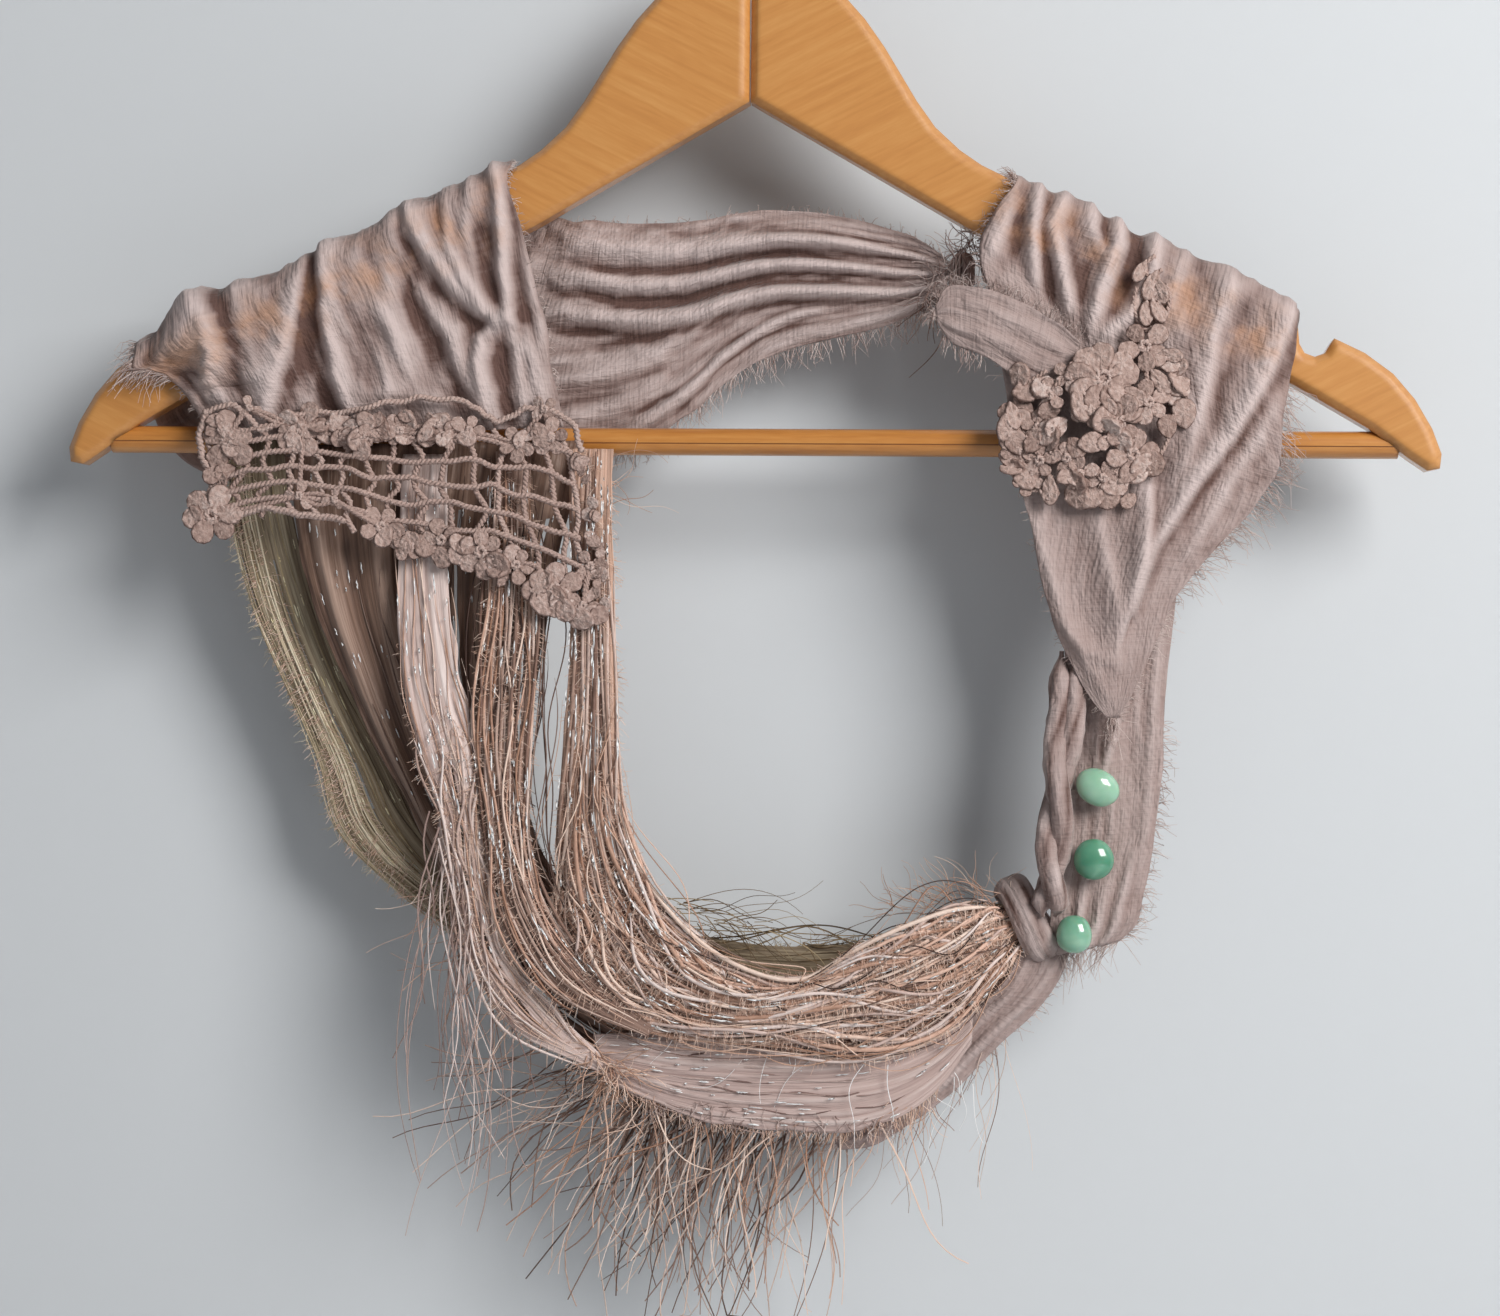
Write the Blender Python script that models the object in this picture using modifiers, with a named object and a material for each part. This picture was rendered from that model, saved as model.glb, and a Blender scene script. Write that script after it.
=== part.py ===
"""Scarf necklace hanging on a wooden clothes hanger.

The scarf is one loop. It runs from a crochet band at the front left, over the left arm of the hanger,
across behind the neck to a bound tie, over the right arm, down to a braid and a knot, and back to the
crochet band through a swag of shredded ribbons.

The sizes below are in millimetres, measured from the middle of the hanger's bar: x to the right, y to
the back, z up. The finished part is in metres, with its origin at the top of the hook's inside, where
it hangs.
"""

import math
from collections import namedtuple

import bmesh
import bpy
import numpy as np
from mathutils import Matrix, Vector

MM = 0.001
GAP = 0.3
WALL = 1.4
FULL_FOLDS_WIDTH = 110.0

# The hanger.
HANGER_THICKNESS = 13.0
HANGER_EDGE_ROUNDING = 2.2
ARM_TOP_AT_75 = 89.4
ARM_SLOPE = 0.4915
BAR_RADIUS = 4.4
BAR_HALF_LENGTH = 209.0
NOTCH_CENTRE = (182.0, 33.0)
NOTCH_RADIUS = 5.0
NOTCH_ANGLES = (-10, -50, -90, -130, -170)
NOTCH_LEFT_LIP = 176.4
WOOD_TOP = 163.0

# The hook, a bent steel wire.
HOOK_WIRE = 3.4
HOOK_INNER_RADIUS = 18.0
HOOK_SHANK = 18.3
HOOK_DEPTH_IN_WOOD = 16.0
HOOK_RING = HOOK_INNER_RADIUS + HOOK_WIRE / 2
HOOK_CENTRE = WOOD_TOP + HOOK_SHANK + HOOK_RING
BAR_DROP = HOOK_CENTRE + HOOK_INNER_RADIUS

# How the drapes pass over the arms.
DRAPE_RADIUS = 8.1
ARCH_CENTRE_DROP = HANGER_THICKNESS / 2
LEFT_ARCH = dict(ax=-200.0, bx=-77.0, angles=(-90, -45, 0, 45, 90))
RIGHT_ARCH = dict(ax=84.0, bx=176.0, angles=(-60, -20, 20, 60, 90))

# The bound tie, an oval of wound thread.
TIE_CENTRE = (69.2, 5.0, 56.0)
TIE_HALF_SIZES = (4.2, 5.4, 6.8)

# The braid of two rolled strands.
BRAID_STRAND_RADIUS = 2.5
BRAID_TWIST_RADIUS = 2.9
BRAID_TURNS = 1.6
BRAID_STRAIGHT_SHARE = 0.18
BRAID_POINTS = 24

# The knot, a broad ring of cloth round the ribbons' ends.
KNOT_CENTRE = (92.0, 0.0, -153.0)
KNOT_HALF_HEIGHT = 12.0
KNOT_HALF_DEPTH = 9.3
KNOT_THICKNESS_SHARE = 0.29
KNOT_HALF_WIDTH = 6.0
KNOT_LEAN = 30.5

# The crochet band: an open net between two solid bands.
NET_COLUMNS = 14
NET_ROWS = 4
NET_CORD = 2.2
NET_LENGTH = 124.0
NET_HEIGHT = 46.0
NET_TOP_BAND = 8.0
NET_BOTTOM_BAND = 9.0
SCALLOP_DEPTH = 1.8

# The crochet rosette: a domed disc with petals and small gaps between its stitches.
ROSETTE_CENTRE = (112.0, -17.8, 6.0)
ROSETTE_RADIUS = 27.5
ROSETTE_RINGS = (0.16, 0.38, 0.56, 0.72, 0.86, 1.0)
ROSETTE_SECTORS = 24
ROSETTE_PETALS = 6
ROSETTE_PETAL_SHARE = 0.10
ROSETTE_DOME = 7.0
ROSETTE_GAP_RING = 2
ROSETTE_SECTORS_PER_GAP = 4

# The threads of the fringes.
THREAD_WIDTH = 1.0
THREAD_STEPS = 4
THREAD_SWAY = 2.0
THREAD_SHORTEST = 0.64

Point = namedtuple("Point", "x z")
# A row across a piece of cloth: its two edge points, and how far its middle bulges out.
Row = namedtuple("Row", "ax ay az bx by bz crown")
# A crease or ridge: the rows it runs between, its place across the cloth (0 at edge a, 1 at edge b) at
# both ends, its half width as a share of the cloth, and its height.
Fold = namedtuple("Fold", "from_row to_row from_t to_t width height")
# A piece of cloth: its rows and folds, its cells across and along, and its least height off its rows.
Cloth = namedtuple("Cloth", "name rows folds across along lift material")
# A bead: its middle, its half sizes, and the lean of its long side in degrees.
Bead = namedtuple("Bead", "x y z half_width half_depth half_height lean")
# A fringe: its backing strip from one end to the other, and how its threads lean, drift and end.
Fringe = namedtuple(
    "Fringe", "name x0 z0 x1 z1 y height threads lean_left lean_right reach_left reach_right drift"
)
Finish = namedtuple("Finish", "colour roughness metallic")

FINISHES = {
    "lacquered_beech": Finish((0.72, 0.36, 0.11), 0.32, 0.0),
    "steel_wire": Finish((0.62, 0.62, 0.64), 0.28, 1.0),
    "mauve_gauze": Finish((0.36, 0.25, 0.23), 0.9, 0.0),
    "crochet_cotton": Finish((0.34, 0.26, 0.24), 0.95, 0.0),
    "olive_ribbon": Finish((0.22, 0.17, 0.09), 0.6, 0.1),
    "taupe_ribbon": Finish((0.22, 0.14, 0.11), 0.6, 0.1),
    "pink_ribbon": Finish((0.42, 0.25, 0.18), 0.7, 0.1),
    "brown_thread": Finish((0.15, 0.09, 0.07), 0.8, 0.0),
    "jade": Finish((0.18, 0.42, 0.27), 0.15, 0.0),
}

# Right arm of the hanger seen from the front, from the mitre's foot round the tip to the notch.
ARM_OUTLINE = [
    Point(0.2, 110.0), Point(36.0, 89.0), Point(70.0, 69.5), Point(120.0, 45.6), Point(176.0, 18.6),
    Point(200.0, 4.6), Point(212.0, -4.4), Point(218.0, -8.4), Point(222.0, -7.6),
    Point(222.5, -3.0), Point(219.5, 5.0), Point(214.0, 14.4), Point(207.0, 22.6),
    Point(198.0, 29.2), Point(188.2, 33.9),
]
# From the end of the arm's straight top up to the mitre's head.
ARM_NECK = [
    Point(75.0, 89.4), Point(68.0, 94.2), Point(60.0, 101.6), Point(54.0, 110.0), Point(49.0, 118.2),
    Point(43.5, 127.4), Point(37.0, 136.6), Point(30.0, 144.4), Point(21.0, 152.6),
    Point(12.0, 159.6), Point(0.2, 163.0),
]

# Gauze over the left arm: from its front hem up to the arm.
LEFT_FRONT_ROWS = [
    Row(-175, -9.5, -1, -58, -9.5, 4, 0.5),
    Row(-179, -9.5, 7, -60, -9.5, 13, 0.5),
    Row(-184, -9.5, 15, -63, -9.5, 27, 0.5),
    Row(-190, -9.0, 20, -67, -9.5, 46, 0.0),
    Row(-196, -8.6, 21, -72, -8.8, 68, 0.0),
]
# Then down the back and round towards the neck.
LEFT_BACK_ROWS = [
    Row(-197, 9.0, 3, -75, 9.0, 77, 0.0),
    Row(-177, 10.0, -13, -72, 10.0, 75.5, 0.0),
    Row(-138, 11.0, -18, -69, 11.0, 74.8, 0.0),
    Row(-97, 12.0, -13.5, -66.5, 12.0, 74.5, 0.0),
]
LEFT_FOLDS = [
    Fold(0.6, 11.5, 0.04, 0.27, 0.07, 7.0),
    Fold(-1.5, 11.5, 0.21, 0.43, 0.042, 4.6),
    Fold(-1.5, 11.5, 0.38, 0.57, 0.048, 4.0),
    Fold(-1.5, 11.5, 0.54, 0.69, 0.042, 4.8),
    Fold(-1.5, 11.5, 0.70, 0.80, 0.040, 4.2),
    Fold(-1.5, 11.5, 0.89, 0.91, 0.040, 5.0),
    Fold(9.0, 15.0, 0.12, 0.14, 0.06, 4.4),
    Fold(9.0, 15.0, 0.36, 0.34, 0.06, 4.4),
    Fold(9.0, 15.0, 0.62, 0.55, 0.06, 4.4),
    Fold(9.0, 15.0, 0.86, 0.78, 0.05, 4.0),
]
# The gathered stretch behind the neck, from the left drape to the tie.
NECK_ROWS = [
    Row(-95.8, 12.0, -13.0, -65.6, 12.0, 74.6, 0.0),
    Row(-72, 12.0, -7, -55, 12.0, 74, 0.0),
    Row(-43, 12.0, -3, -41, 12.0, 73, 0.5),
    Row(-23, 12.0, 7, -22, 12.0, 73.5, 0.5),
    Row(-8, 12.0, 20, -5, 12.0, 76, 0.5),
    Row(9, 11.6, 30, 10, 11.6, 77, 0.5),
    Row(29, 10.6, 35, 29, 10.6, 75, 0.5),
    Row(48, 9.0, 40, 48, 9.0, 70, 0.0),
    Row(58, 6.6, 46, 58, 6.6, 65, 0.0),
    Row(63.6, 4.4, 51.5, 63.6, 4.4, 60.5, 0.0),
]
NECK_FOLDS = [
    Fold(-1.5, 8.8, 0.14, 0.12, 0.055, 4.6),
    Fold(-1.5, 8.8, 0.34, 0.30, 0.05, 5.0),
    Fold(-1.5, 8.8, 0.55, 0.48, 0.05, 5.0),
    Fold(-1.5, 8.8, 0.72, 0.66, 0.045, 5.0),
    Fold(-1.5, 8.8, 0.90, 0.86, 0.055, 4.6),
]
# Gauze over the right arm: from its pointed front end up to the arm.
RIGHT_FRONT_ROWS = [
    Row(116, -13.0, -88, 120, -13.0, -88, 0.0),
    Row(109, -13.0, -79, 126, -13.0, -77, 0.6),
    Row(101, -12.6, -63, 133, -12.6, -61, 0.8),
    Row(95, -12.0, -46, 140, -12.0, -47, 0.8),
    Row(91, -11.6, -25, 152, -11.6, -33, 0.8),
    Row(85, -11.0, -3, 164, -11.0, -20, 0.6),
    Row(82, -10.5, 19, 171, -10.5, -8, 0.4),
    Row(77, -10.0, 45, 172, -10.0, 5, 0.2),
    Row(73, -9.2, 61, 174, -9.2, 18, 0.0),
    Row(78, -8.4, 73, 176, -8.4, 28, 0.0),
]
# Then down the back to the tie.
RIGHT_BACK_ROWS = [
    Row(80, 9.0, 69, 168, 9.0, 20, 0.0),
    Row(78, 9.4, 64, 138, 9.8, 18, 0.0),
    Row(77, 8.0, 61.5, 106, 9.0, 31, 0.0),
    Row(76.0, 6.2, 60.6, 87, 7.0, 45, 0.0),
    Row(75.0, 4.6, 60, 76.0, 5.0, 53, 0.0),
]
RIGHT_FOLDS = [
    Fold(0.4, 9.0, 0.50, 0.44, 0.06, 3.6),
    Fold(0.4, 9.5, 0.80, 0.68, 0.07, 4.4),
    Fold(3.0, 9.5, 0.16, 0.24, 0.06, 2.4),
    Fold(7.5, 17.2, 0.06, 0.08, 0.045, 3.6),
    Fold(7.5, 17.2, 0.21, 0.20, 0.045, 4.8),
    Fold(7.5, 17.2, 0.36, 0.34, 0.045, 5.4),
    Fold(7.5, 17.2, 0.51, 0.50, 0.045, 5.0),
    Fold(7.5, 16.4, 0.68, 0.68, 0.055, 4.8),
    Fold(7.0, 15.6, 0.88, 0.88, 0.06, 4.6),
]
# The folded tail that carries the beads, from behind the right drape down past the bar.
TAIL_ROWS = [
    Row(140, 9.4, 24, 107, 9.4, 34, 0.0),
    Row(142, 9.2, 8, 105, 9.0, 14, 0.0),
    Row(142, 8.0, -16, 103, 8.0, -12, 0.0),
    Row(142, 2.0, -36, 102, 2.0, -36, 0.2),
    Row(139, -2.8, -54, 102, -3.2, -58, 0.6),
    Row(137, -3.6, -70, 102, -4.0, -74, 0.8),
    Row(136, -3.6, -88, 101, -4.0, -92, 1.0),
    Row(135, -3.6, -106, 101, -4.0, -110, 1.2),
    Row(133, -3.6, -125, 102, -4.0, -128, 1.2),
    Row(129, -3.6, -143, 104, -4.0, -144, 1.2),
    Row(125, -4.0, -155, 107, -4.0, -155, 1.0),
    Row(122, -4.0, -162, 112, -4.0, -163, 0.4),
]
TAIL_FOLDS = [
    Fold(3.0, 6.0, 0.38, 0.70, 0.06, 1.0),
    Fold(7.4, 11.5, 0.55, 0.50, 0.08, 1.2),
    Fold(7.4, 11.5, 0.22, 0.20, 0.06, 1.2),
]
# A loose tab of gauze beside the rosette.
COLLAR_ROWS = [
    Row(65, -13.2, 45, 65, -13.2, 35, 0.2),
    Row(76, -14.0, 47, 73, -14.0, 30, 0.6),
    Row(87, -14.8, 45, 83, -14.8, 22, 0.6),
    Row(99, -15.0, 40, 94, -15.4, 16, 0.6),
    Row(107, -15.0, 32, 103, -15.6, 20, 0.4),
]
# The ribbons, from under the crochet band down and round to the knot.
TAUPE_ROWS = [
    Row(-52, -5.1, 0, -149.0, -5.1, -2, 0.0),
    Row(-56, -5.2, -19, -148.2, -5.2, -24, 0.0),
    Row(-62, -2.0, -45, -143.2, -2.0, -50, 0.0),
    Row(-67, 2.0, -71, -134, 2.0, -75, 0.0),
    Row(-70, 3.0, -97, -123, 3.0, -98, 0.4),
    Row(-70, 3.0, -122, -110, 3.0, -121, 0.8),
    Row(-60, 3.0, -143, -99, 3.0, -144, 1.0),
    Row(-36, 3.0, -161, -92, 3.0, -160, 1.0),
    Row(-14, 3.0, -173, -84, 3.0, -177, 1.0),
    Row(6, 3.0, -178, -67, 3.0, -194, 1.0),
    Row(22, 3.0, -176, -40, 3.0, -209, 0.8),
    Row(38, 3.0, -171, -7, 3.0, -218, 0.8),
    Row(54, 3.0, -164, 29, 3.0, -219, 0.8),
    Row(70, 2.6, -155, 60, 2.6, -206, 0.6),
    Row(80.4, 1.6, -150, 86, 1.6, -173, 0.2),
    Row(87.1, 1.0, -150.6, 91.7, 1.0, -158.4, 0.0),
    Row(90.2, 0.8, -150.0, 93.8, 0.8, -156.0, 0.0),
]
TAUPE_FOLDS = [
    Fold(0.3, 9.0, 0.90, 0.86, 0.05, 3.2),
    Fold(0.3, 9.5, 0.70, 0.70, 0.05, 3.4),
    Fold(0.3, 10.0, 0.50, 0.52, 0.06, 3.2),
    Fold(0.3, 9.5, 0.30, 0.34, 0.05, 3.2),
    Fold(0.3, 8.0, 0.10, 0.16, 0.05, 3.0),
    Fold(8.0, 14.2, 0.20, 0.30, 0.08, 2.0),
    Fold(8.0, 14.2, 0.58, 0.60, 0.08, 2.0),
]
OLIVE_ROWS = [
    Row(-151.2, -5.2, 2, -168, -5.2, -1, 0.0),
    Row(-150.4, -5.2, -9, -169, -5.2, -12, 0.0),
    Row(-148, 1.0, -28, -168, 1.0, -30, 0.0),
    Row(-142, 8.0, -53, -162, 8.0, -56, 0.6),
    Row(-132, 10.6, -80, -151, 10.6, -82, 1.0),
    Row(-119, 11.4, -105, -141, 11.4, -106, 1.0),
    Row(-107, 11.4, -126, -134, 11.4, -127, 1.0),
    Row(-90, 11.4, -144, -117, 11.4, -145, 1.0),
    Row(-61, 11.4, -157, -92, 11.4, -164, 0.6),
    Row(-28, 11.4, -160, -55, 11.4, -184, 0.6),
    Row(5, 11.4, -163, -14, 11.4, -198, 0.6),
    Row(34, 10.6, -163, 25, 10.6, -200, 0.6),
    Row(58, 8.6, -158, 52, 8.6, -192, 0.4),
    Row(80, 5.4, -149.6, 86, 5.4, -170, 0.0),
    Row(87.1, 4.2, -150.6, 91.7, 4.2, -158.4, 0.0),
    Row(90.2, 3.9, -150.0, 93.8, 3.9, -156.0, 0.0),
]
OLIVE_FOLDS = [
    Fold(1.0, 8.0, 0.30, 0.35, 0.14, 0.9),
    Fold(2.0, 13.0, 0.75, 0.70, 0.12, 0.8),
]
SATIN_ROWS = [
    Row(-97, -7.7, -5, -112, -7.7, -5, 0.2),
    Row(-96, -10.3, -26, -113, -10.3, -26, 0.6),
    Row(-94, -10.5, -52, -113, -10.5, -54, 1.0),
    Row(-91, -10.5, -76, -111, -10.5, -78, 1.0),
    Row(-86, -10.5, -98, -106, -10.5, -100, 1.0),
    Row(-83, -10.5, -120, -100, -10.5, -120, 1.0),
    Row(-81, -10.5, -142, -96, -10.5, -142, 1.0),
    Row(-74, -10.5, -164, -89, -10.5, -166, 1.0),
    Row(-60, -10.5, -184, -75, -10.5, -190, 1.0),
    Row(-38, -10.5, -196, -50, -10.5, -207, 0.6),
]
CORDS_ROWS = [
    Row(-69, -7.7, -4, -82, -7.7, -4, 0.2),
    Row(-69, -10.8, -28, -82, -10.8, -28, 0.6),
    Row(-68, -11.4, -52, -83, -11.4, -52, 0.8),
    Row(-69, -11.4, -78, -84, -11.4, -78, 0.8),
    Row(-70, -11.6, -104, -84.4, -11.6, -104, 0.8),
    Row(-69, -12.6, -130, -81, -12.6, -130, 0.8),
    Row(-62, -13.9, -152, -76, -13.9, -155, 0.8),
    Row(-46, -15.4, -173, -60, -15.4, -179, 0.8),
    Row(-24, -15.6, -187, -35, -15.6, -195, 0.4),
]
SWAG_ROWS = [
    Row(-43, -7.7, -3, -57, -7.7, -3, 0.2),
    Row(-43, -10.2, -24, -57, -10.2, -24, 0.6),
    Row(-42, -10.2, -46, -56, -10.2, -46, 0.8),
    Row(-41, -9.8, -70, -57, -9.8, -70, 0.8),
    Row(-40, -9.8, -95, -58, -9.8, -95, 0.8),
    Row(-38, -10.2, -121, -60, -10.2, -121, 0.8),
    Row(-30, -10.6, -143, -60, -10.6, -143, 0.8),
    Row(-16, -10.8, -161, -58, -10.8, -163, 0.8),
    Row(0, -10.8, -172, -45, -10.8, -182, 0.8),
    Row(16, -10.8, -175, -18, -10.8, -192, 0.8),
    Row(32, -10.8, -168, 14, -10.8, -194, 0.8),
    Row(49, -10.4, -159, 42, -10.4, -194, 0.8),
    Row(66, -8.6, -151, 67, -8.6, -187, 0.6),
    Row(77, -6.0, -149.0, 83, -6.0, -172, 0.2),
    Row(83, -4.0, -151.4, 89, -4.0, -161.8, 0.0),
    Row(87.1, -2.9, -150.6, 91.7, -2.9, -158.4, 0.0),
    Row(90.2, -2.6, -150.0, 93.8, -2.6, -156.0, 0.0),
]
SWAG_FOLDS = [
    Fold(4.0, 13.4, 0.20, 0.25, 0.10, 2.2),
    Fold(4.5, 13.4, 0.50, 0.52, 0.10, 2.0),
    Fold(5.0, 13.4, 0.80, 0.80, 0.10, 2.2),
]
MAUVE_ROWS = [
    Row(-46, -7.9, -194, -40, -7.9, -207, 0.2),
    Row(-26, -7.9, -194, -24, -7.9, -216, 0.8),
    Row(-7, -7.9, -193, -6, -7.9, -221, 1.0),
    Row(13, -7.9, -192, 13, -7.9, -223, 1.2),
    Row(32, -7.9, -190, 34, -7.9, -223, 1.2),
    Row(50, -7.1, -188, 51, -7.1, -218, 0.8),
    Row(65, -5.4, -184, 64, -5.4, -208, 0.6),
    Row(75, -4.4, -178, 74, -4.4, -194, 0.3),
]
# The frayed end of gauze that leaves the knot.
GAUZE_END_ROWS = [
    Row(105.0, -1.6, -163.7, 94.6, -1.6, -169.9, 0.0),
    Row(101, -1.4, -172.5, 88.0, -1.4, -174.0, 0.4),
    Row(96, -1.0, -181, 80.5, -1.0, -178.5, 1.0),
    Row(88, -0.8, -190, 73.5, -0.8, -184.5, 1.2),
    Row(78.5, -0.8, -200, 66, -0.8, -192, 1.2),
    Row(68.5, -0.8, -210, 57.5, -0.8, -201, 1.2),
    Row(57, -0.8, -219, 49, -0.8, -210, 1.2),
    Row(44, -0.8, -227, 38, -0.8, -218, 1.0),
    Row(33, -0.8, -231, 28, -0.8, -223, 0.4),
]
# The crochet band, from left to right: edge a is its top, edge b its bottom.
CROCHET_COLUMNS = [
    Row(-174, -15.8, 7, -174, -15.2, -35, 0.0),
    Row(-159, -15.8, 6, -159, -15.2, -29, 0.0),
    Row(-143, -15.8, 8, -142, -15.2, -28, 0.0),
    Row(-128, -15.8, 9, -128, -15.2, -33, 0.0),
    Row(-114, -15.8, 10, -114, -15.2, -39, 0.0),
    Row(-98, -15.8, 10, -97, -15.2, -41, 0.0),
    Row(-82, -15.8, 9, -83, -15.2, -43, 0.0),
    Row(-69, -15.8, 9, -66, -15.2, -49, 0.0),
    Row(-57, -15.8, 8, -50, -15.2, -58, 0.0),
]
CROCHET_FOLDS = [
    Fold(2.2, 3.8, 0.5, 0.5, 9.0, 1.6),
    Fold(5.0, 8.0, 0.5, 0.5, 9.0, 1.0),
]
# A small loose piece of crochet above the rosette.
SCRAP_ROWS = [
    Row(131, -14.0, 58, 124, -14.0, 58, 0.2),
    Row(135, -14.0, 50, 122, -14.0, 50, 0.5),
    Row(134, -14.0, 42, 123, -14.0, 42, 0.5),
    Row(131, -14.4, 34.6, 125, -14.4, 34.6, 0.2),
]
# Middle line of the braid.
BRAID_LINE = [
    (104.4, -9.4, -67), (103.8, -9.8, -84), (102.4, -12.2, -98),
    (100.6, -12.4, -116), (99.8, -12.4, -132), (101.2, -10.6, -146),
]
BEADS = [
    Bead(113.6, -11.6, -110.5, 6.9, 4.4, 5.8, -28),
    Bead(112.6, -11.6, -133.5, 6.1, 4.4, 6.6, 8),
    Bead(106.6, -10.3, -157.6, 5.6, 4.4, 6.1, 0),
]
FRINGES = [
    Fringe("fringe_fall", -44, -207, 50, -214, 4.3, 6.0, 24, -14, 2, 78, 68, -5.0),
    Fringe("fringe_sweep", -36, -213, 46, -219, 6.0, 5.0, 16, -54, -30, 40, 52, 5.0),
    Fringe("fringe_left", -99, -138, -87, -138, -14.2, 5.0, 3, -3, 3, 122, 118, -1.0),
    Fringe("fringe_right", 54, -213, 66, -203, 4.1, 5.0, 3, -2, 2, 44, 48, -2.0),
]


def material(name):
    """The named material, made once."""
    made = bpy.data.materials.get(name)
    if made is None:
        finish = FINISHES[name]
        made = bpy.data.materials.new(name)
        made.use_nodes = True
        shader = made.node_tree.nodes["Principled BSDF"]
        shader.inputs["Base Color"].default_value = (*finish.colour, 1.0)
        shader.inputs["Roughness"].default_value = finish.roughness
        shader.inputs["Metallic"].default_value = finish.metallic
        made.diffuse_color = (*finish.colour, 1.0)
    return made


def place(points):
    """Points from the hanger's own millimetres to metres below the hook."""
    return (np.asarray(points, float) - (0.0, 0.0, BAR_DROP)) * MM


def add_object(name, data, material_name, collection):
    """A named object with its material, in its collection."""
    data.materials.append(material(material_name))
    obj = bpy.data.objects.new(name, data)
    collection.objects.link(obj)
    return obj


def mesh_from(name, work):
    """A mesh from a finished bmesh, with its faces pointing out."""
    mesh = bpy.data.meshes.new(name)
    bmesh.ops.recalc_face_normals(work, faces=work.faces)
    work.to_mesh(mesh)
    work.free()
    return mesh


def smooth_table(rows, at):
    """Catmull-Rom values of a table's columns at fractional row numbers."""
    table = np.asarray(rows, float)
    padded = np.vstack([2 * table[0] - table[1], table, 2 * table[-1] - table[-2]])
    i = np.clip(np.floor(at).astype(int), 0, len(table) - 2)
    f = (at - i)[:, None]
    p0, p1, p2, p3 = (padded[i + k] for k in range(4))
    return 0.5 * (
        2 * p1
        + (p2 - p0) * f
        + (2 * p0 - 5 * p1 + 4 * p2 - p3) * f**2
        + (3 * p1 - p0 - 3 * p2 + p3) * f**3
    )


def fold_height(folds, row, t):
    """Sum of the folds' heights on a grid of row numbers by places across."""
    height = np.zeros((len(row), len(t)))
    for fold in folds:
        run = np.clip((row - fold.from_row) / (fold.to_row - fold.from_row), 0, 1)
        middle = fold.from_t + (fold.to_t - fold.from_t) * run
        across = np.exp(-(((t[None, :] - middle[:, None]) / fold.width) ** 2))
        height += fold.height * np.sqrt(np.sin(np.pi * run))[:, None] * across
    return height


def cloth_grid(rows, folds, row_at, t, lift=0.0):
    """Points on a cloth's back, a row of them for each row number, with its folds raised to the front."""
    table = smooth_table(rows, row_at)
    a, b, crown = table[:, 0:3], table[:, 3:6], table[:, 6]
    grid = a[:, None] + (b - a)[:, None] * t[None, :, None]
    out = np.cross(np.gradient(grid, axis=1), np.gradient(grid, axis=0))
    out /= np.linalg.norm(out, axis=2, keepdims=True)
    gathered = np.clip(np.linalg.norm(b - a, axis=1) / FULL_FOLDS_WIDTH, 0, 1)[:, None]
    height = crown[:, None] * np.sin(np.pi * t) + gathered * fold_height(folds, row_at, t) + lift
    return grid + out * height[..., None]


def walled_sheet(name, grid, keep, material_name, collection):
    """A grid of points as a sheet with the wall's thickness, without the cells that aren't kept."""
    rows, columns = grid.shape[:2]
    corner = np.arange(rows * columns).reshape(rows, columns)
    faces = [
        (corner[i, j], corner[i, j + 1], corner[i + 1, j + 1], corner[i + 1, j])
        for i, j in np.argwhere(keep)
    ]
    mesh = bpy.data.meshes.new(name)
    mesh.from_pydata(place(grid.reshape(-1, 3)).tolist(), [], faces)
    mesh.shade_smooth()
    return thicken(add_object(name, mesh, material_name, collection))


def thicken(obj):
    """Gives an open surface the wall's thickness, on the side that its faces point to."""
    wall = obj.modifiers.new("wall", "SOLIDIFY")
    wall.thickness = WALL * MM
    wall.offset = 1.0
    return obj


def make_cloth(cloth, collection):
    """A piece of cloth lofted through its rows."""
    row_at = np.linspace(0, len(cloth.rows) - 1, cloth.along + 1)
    t = np.linspace(0, 1, cloth.across + 1)
    grid = cloth_grid(cloth.rows, cloth.folds, row_at, t, cloth.lift)
    keep = np.ones((cloth.along, cloth.across), bool)
    return walled_sheet(cloth.name, grid, keep, cloth.material, collection)


def arm_top(x):
    """Height of the arm's straight top edge at a distance from the middle."""
    return ARM_TOP_AT_75 - ARM_SLOPE * (abs(x) - 75.0)


def arch_rows(ax, bx, angles):
    """Rows of cloth that go over a hanger arm, at these angles from its top, in degrees."""
    rows = []
    for degrees in angles:
        y = DRAPE_RADIUS * math.sin(math.radians(degrees))
        rise = DRAPE_RADIUS * math.cos(math.radians(degrees)) - ARCH_CENTRE_DROP
        rows.append(Row(ax, y, arm_top(ax) + rise, bx, y, arm_top(bx) + rise, 0.0))
    return rows


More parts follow.
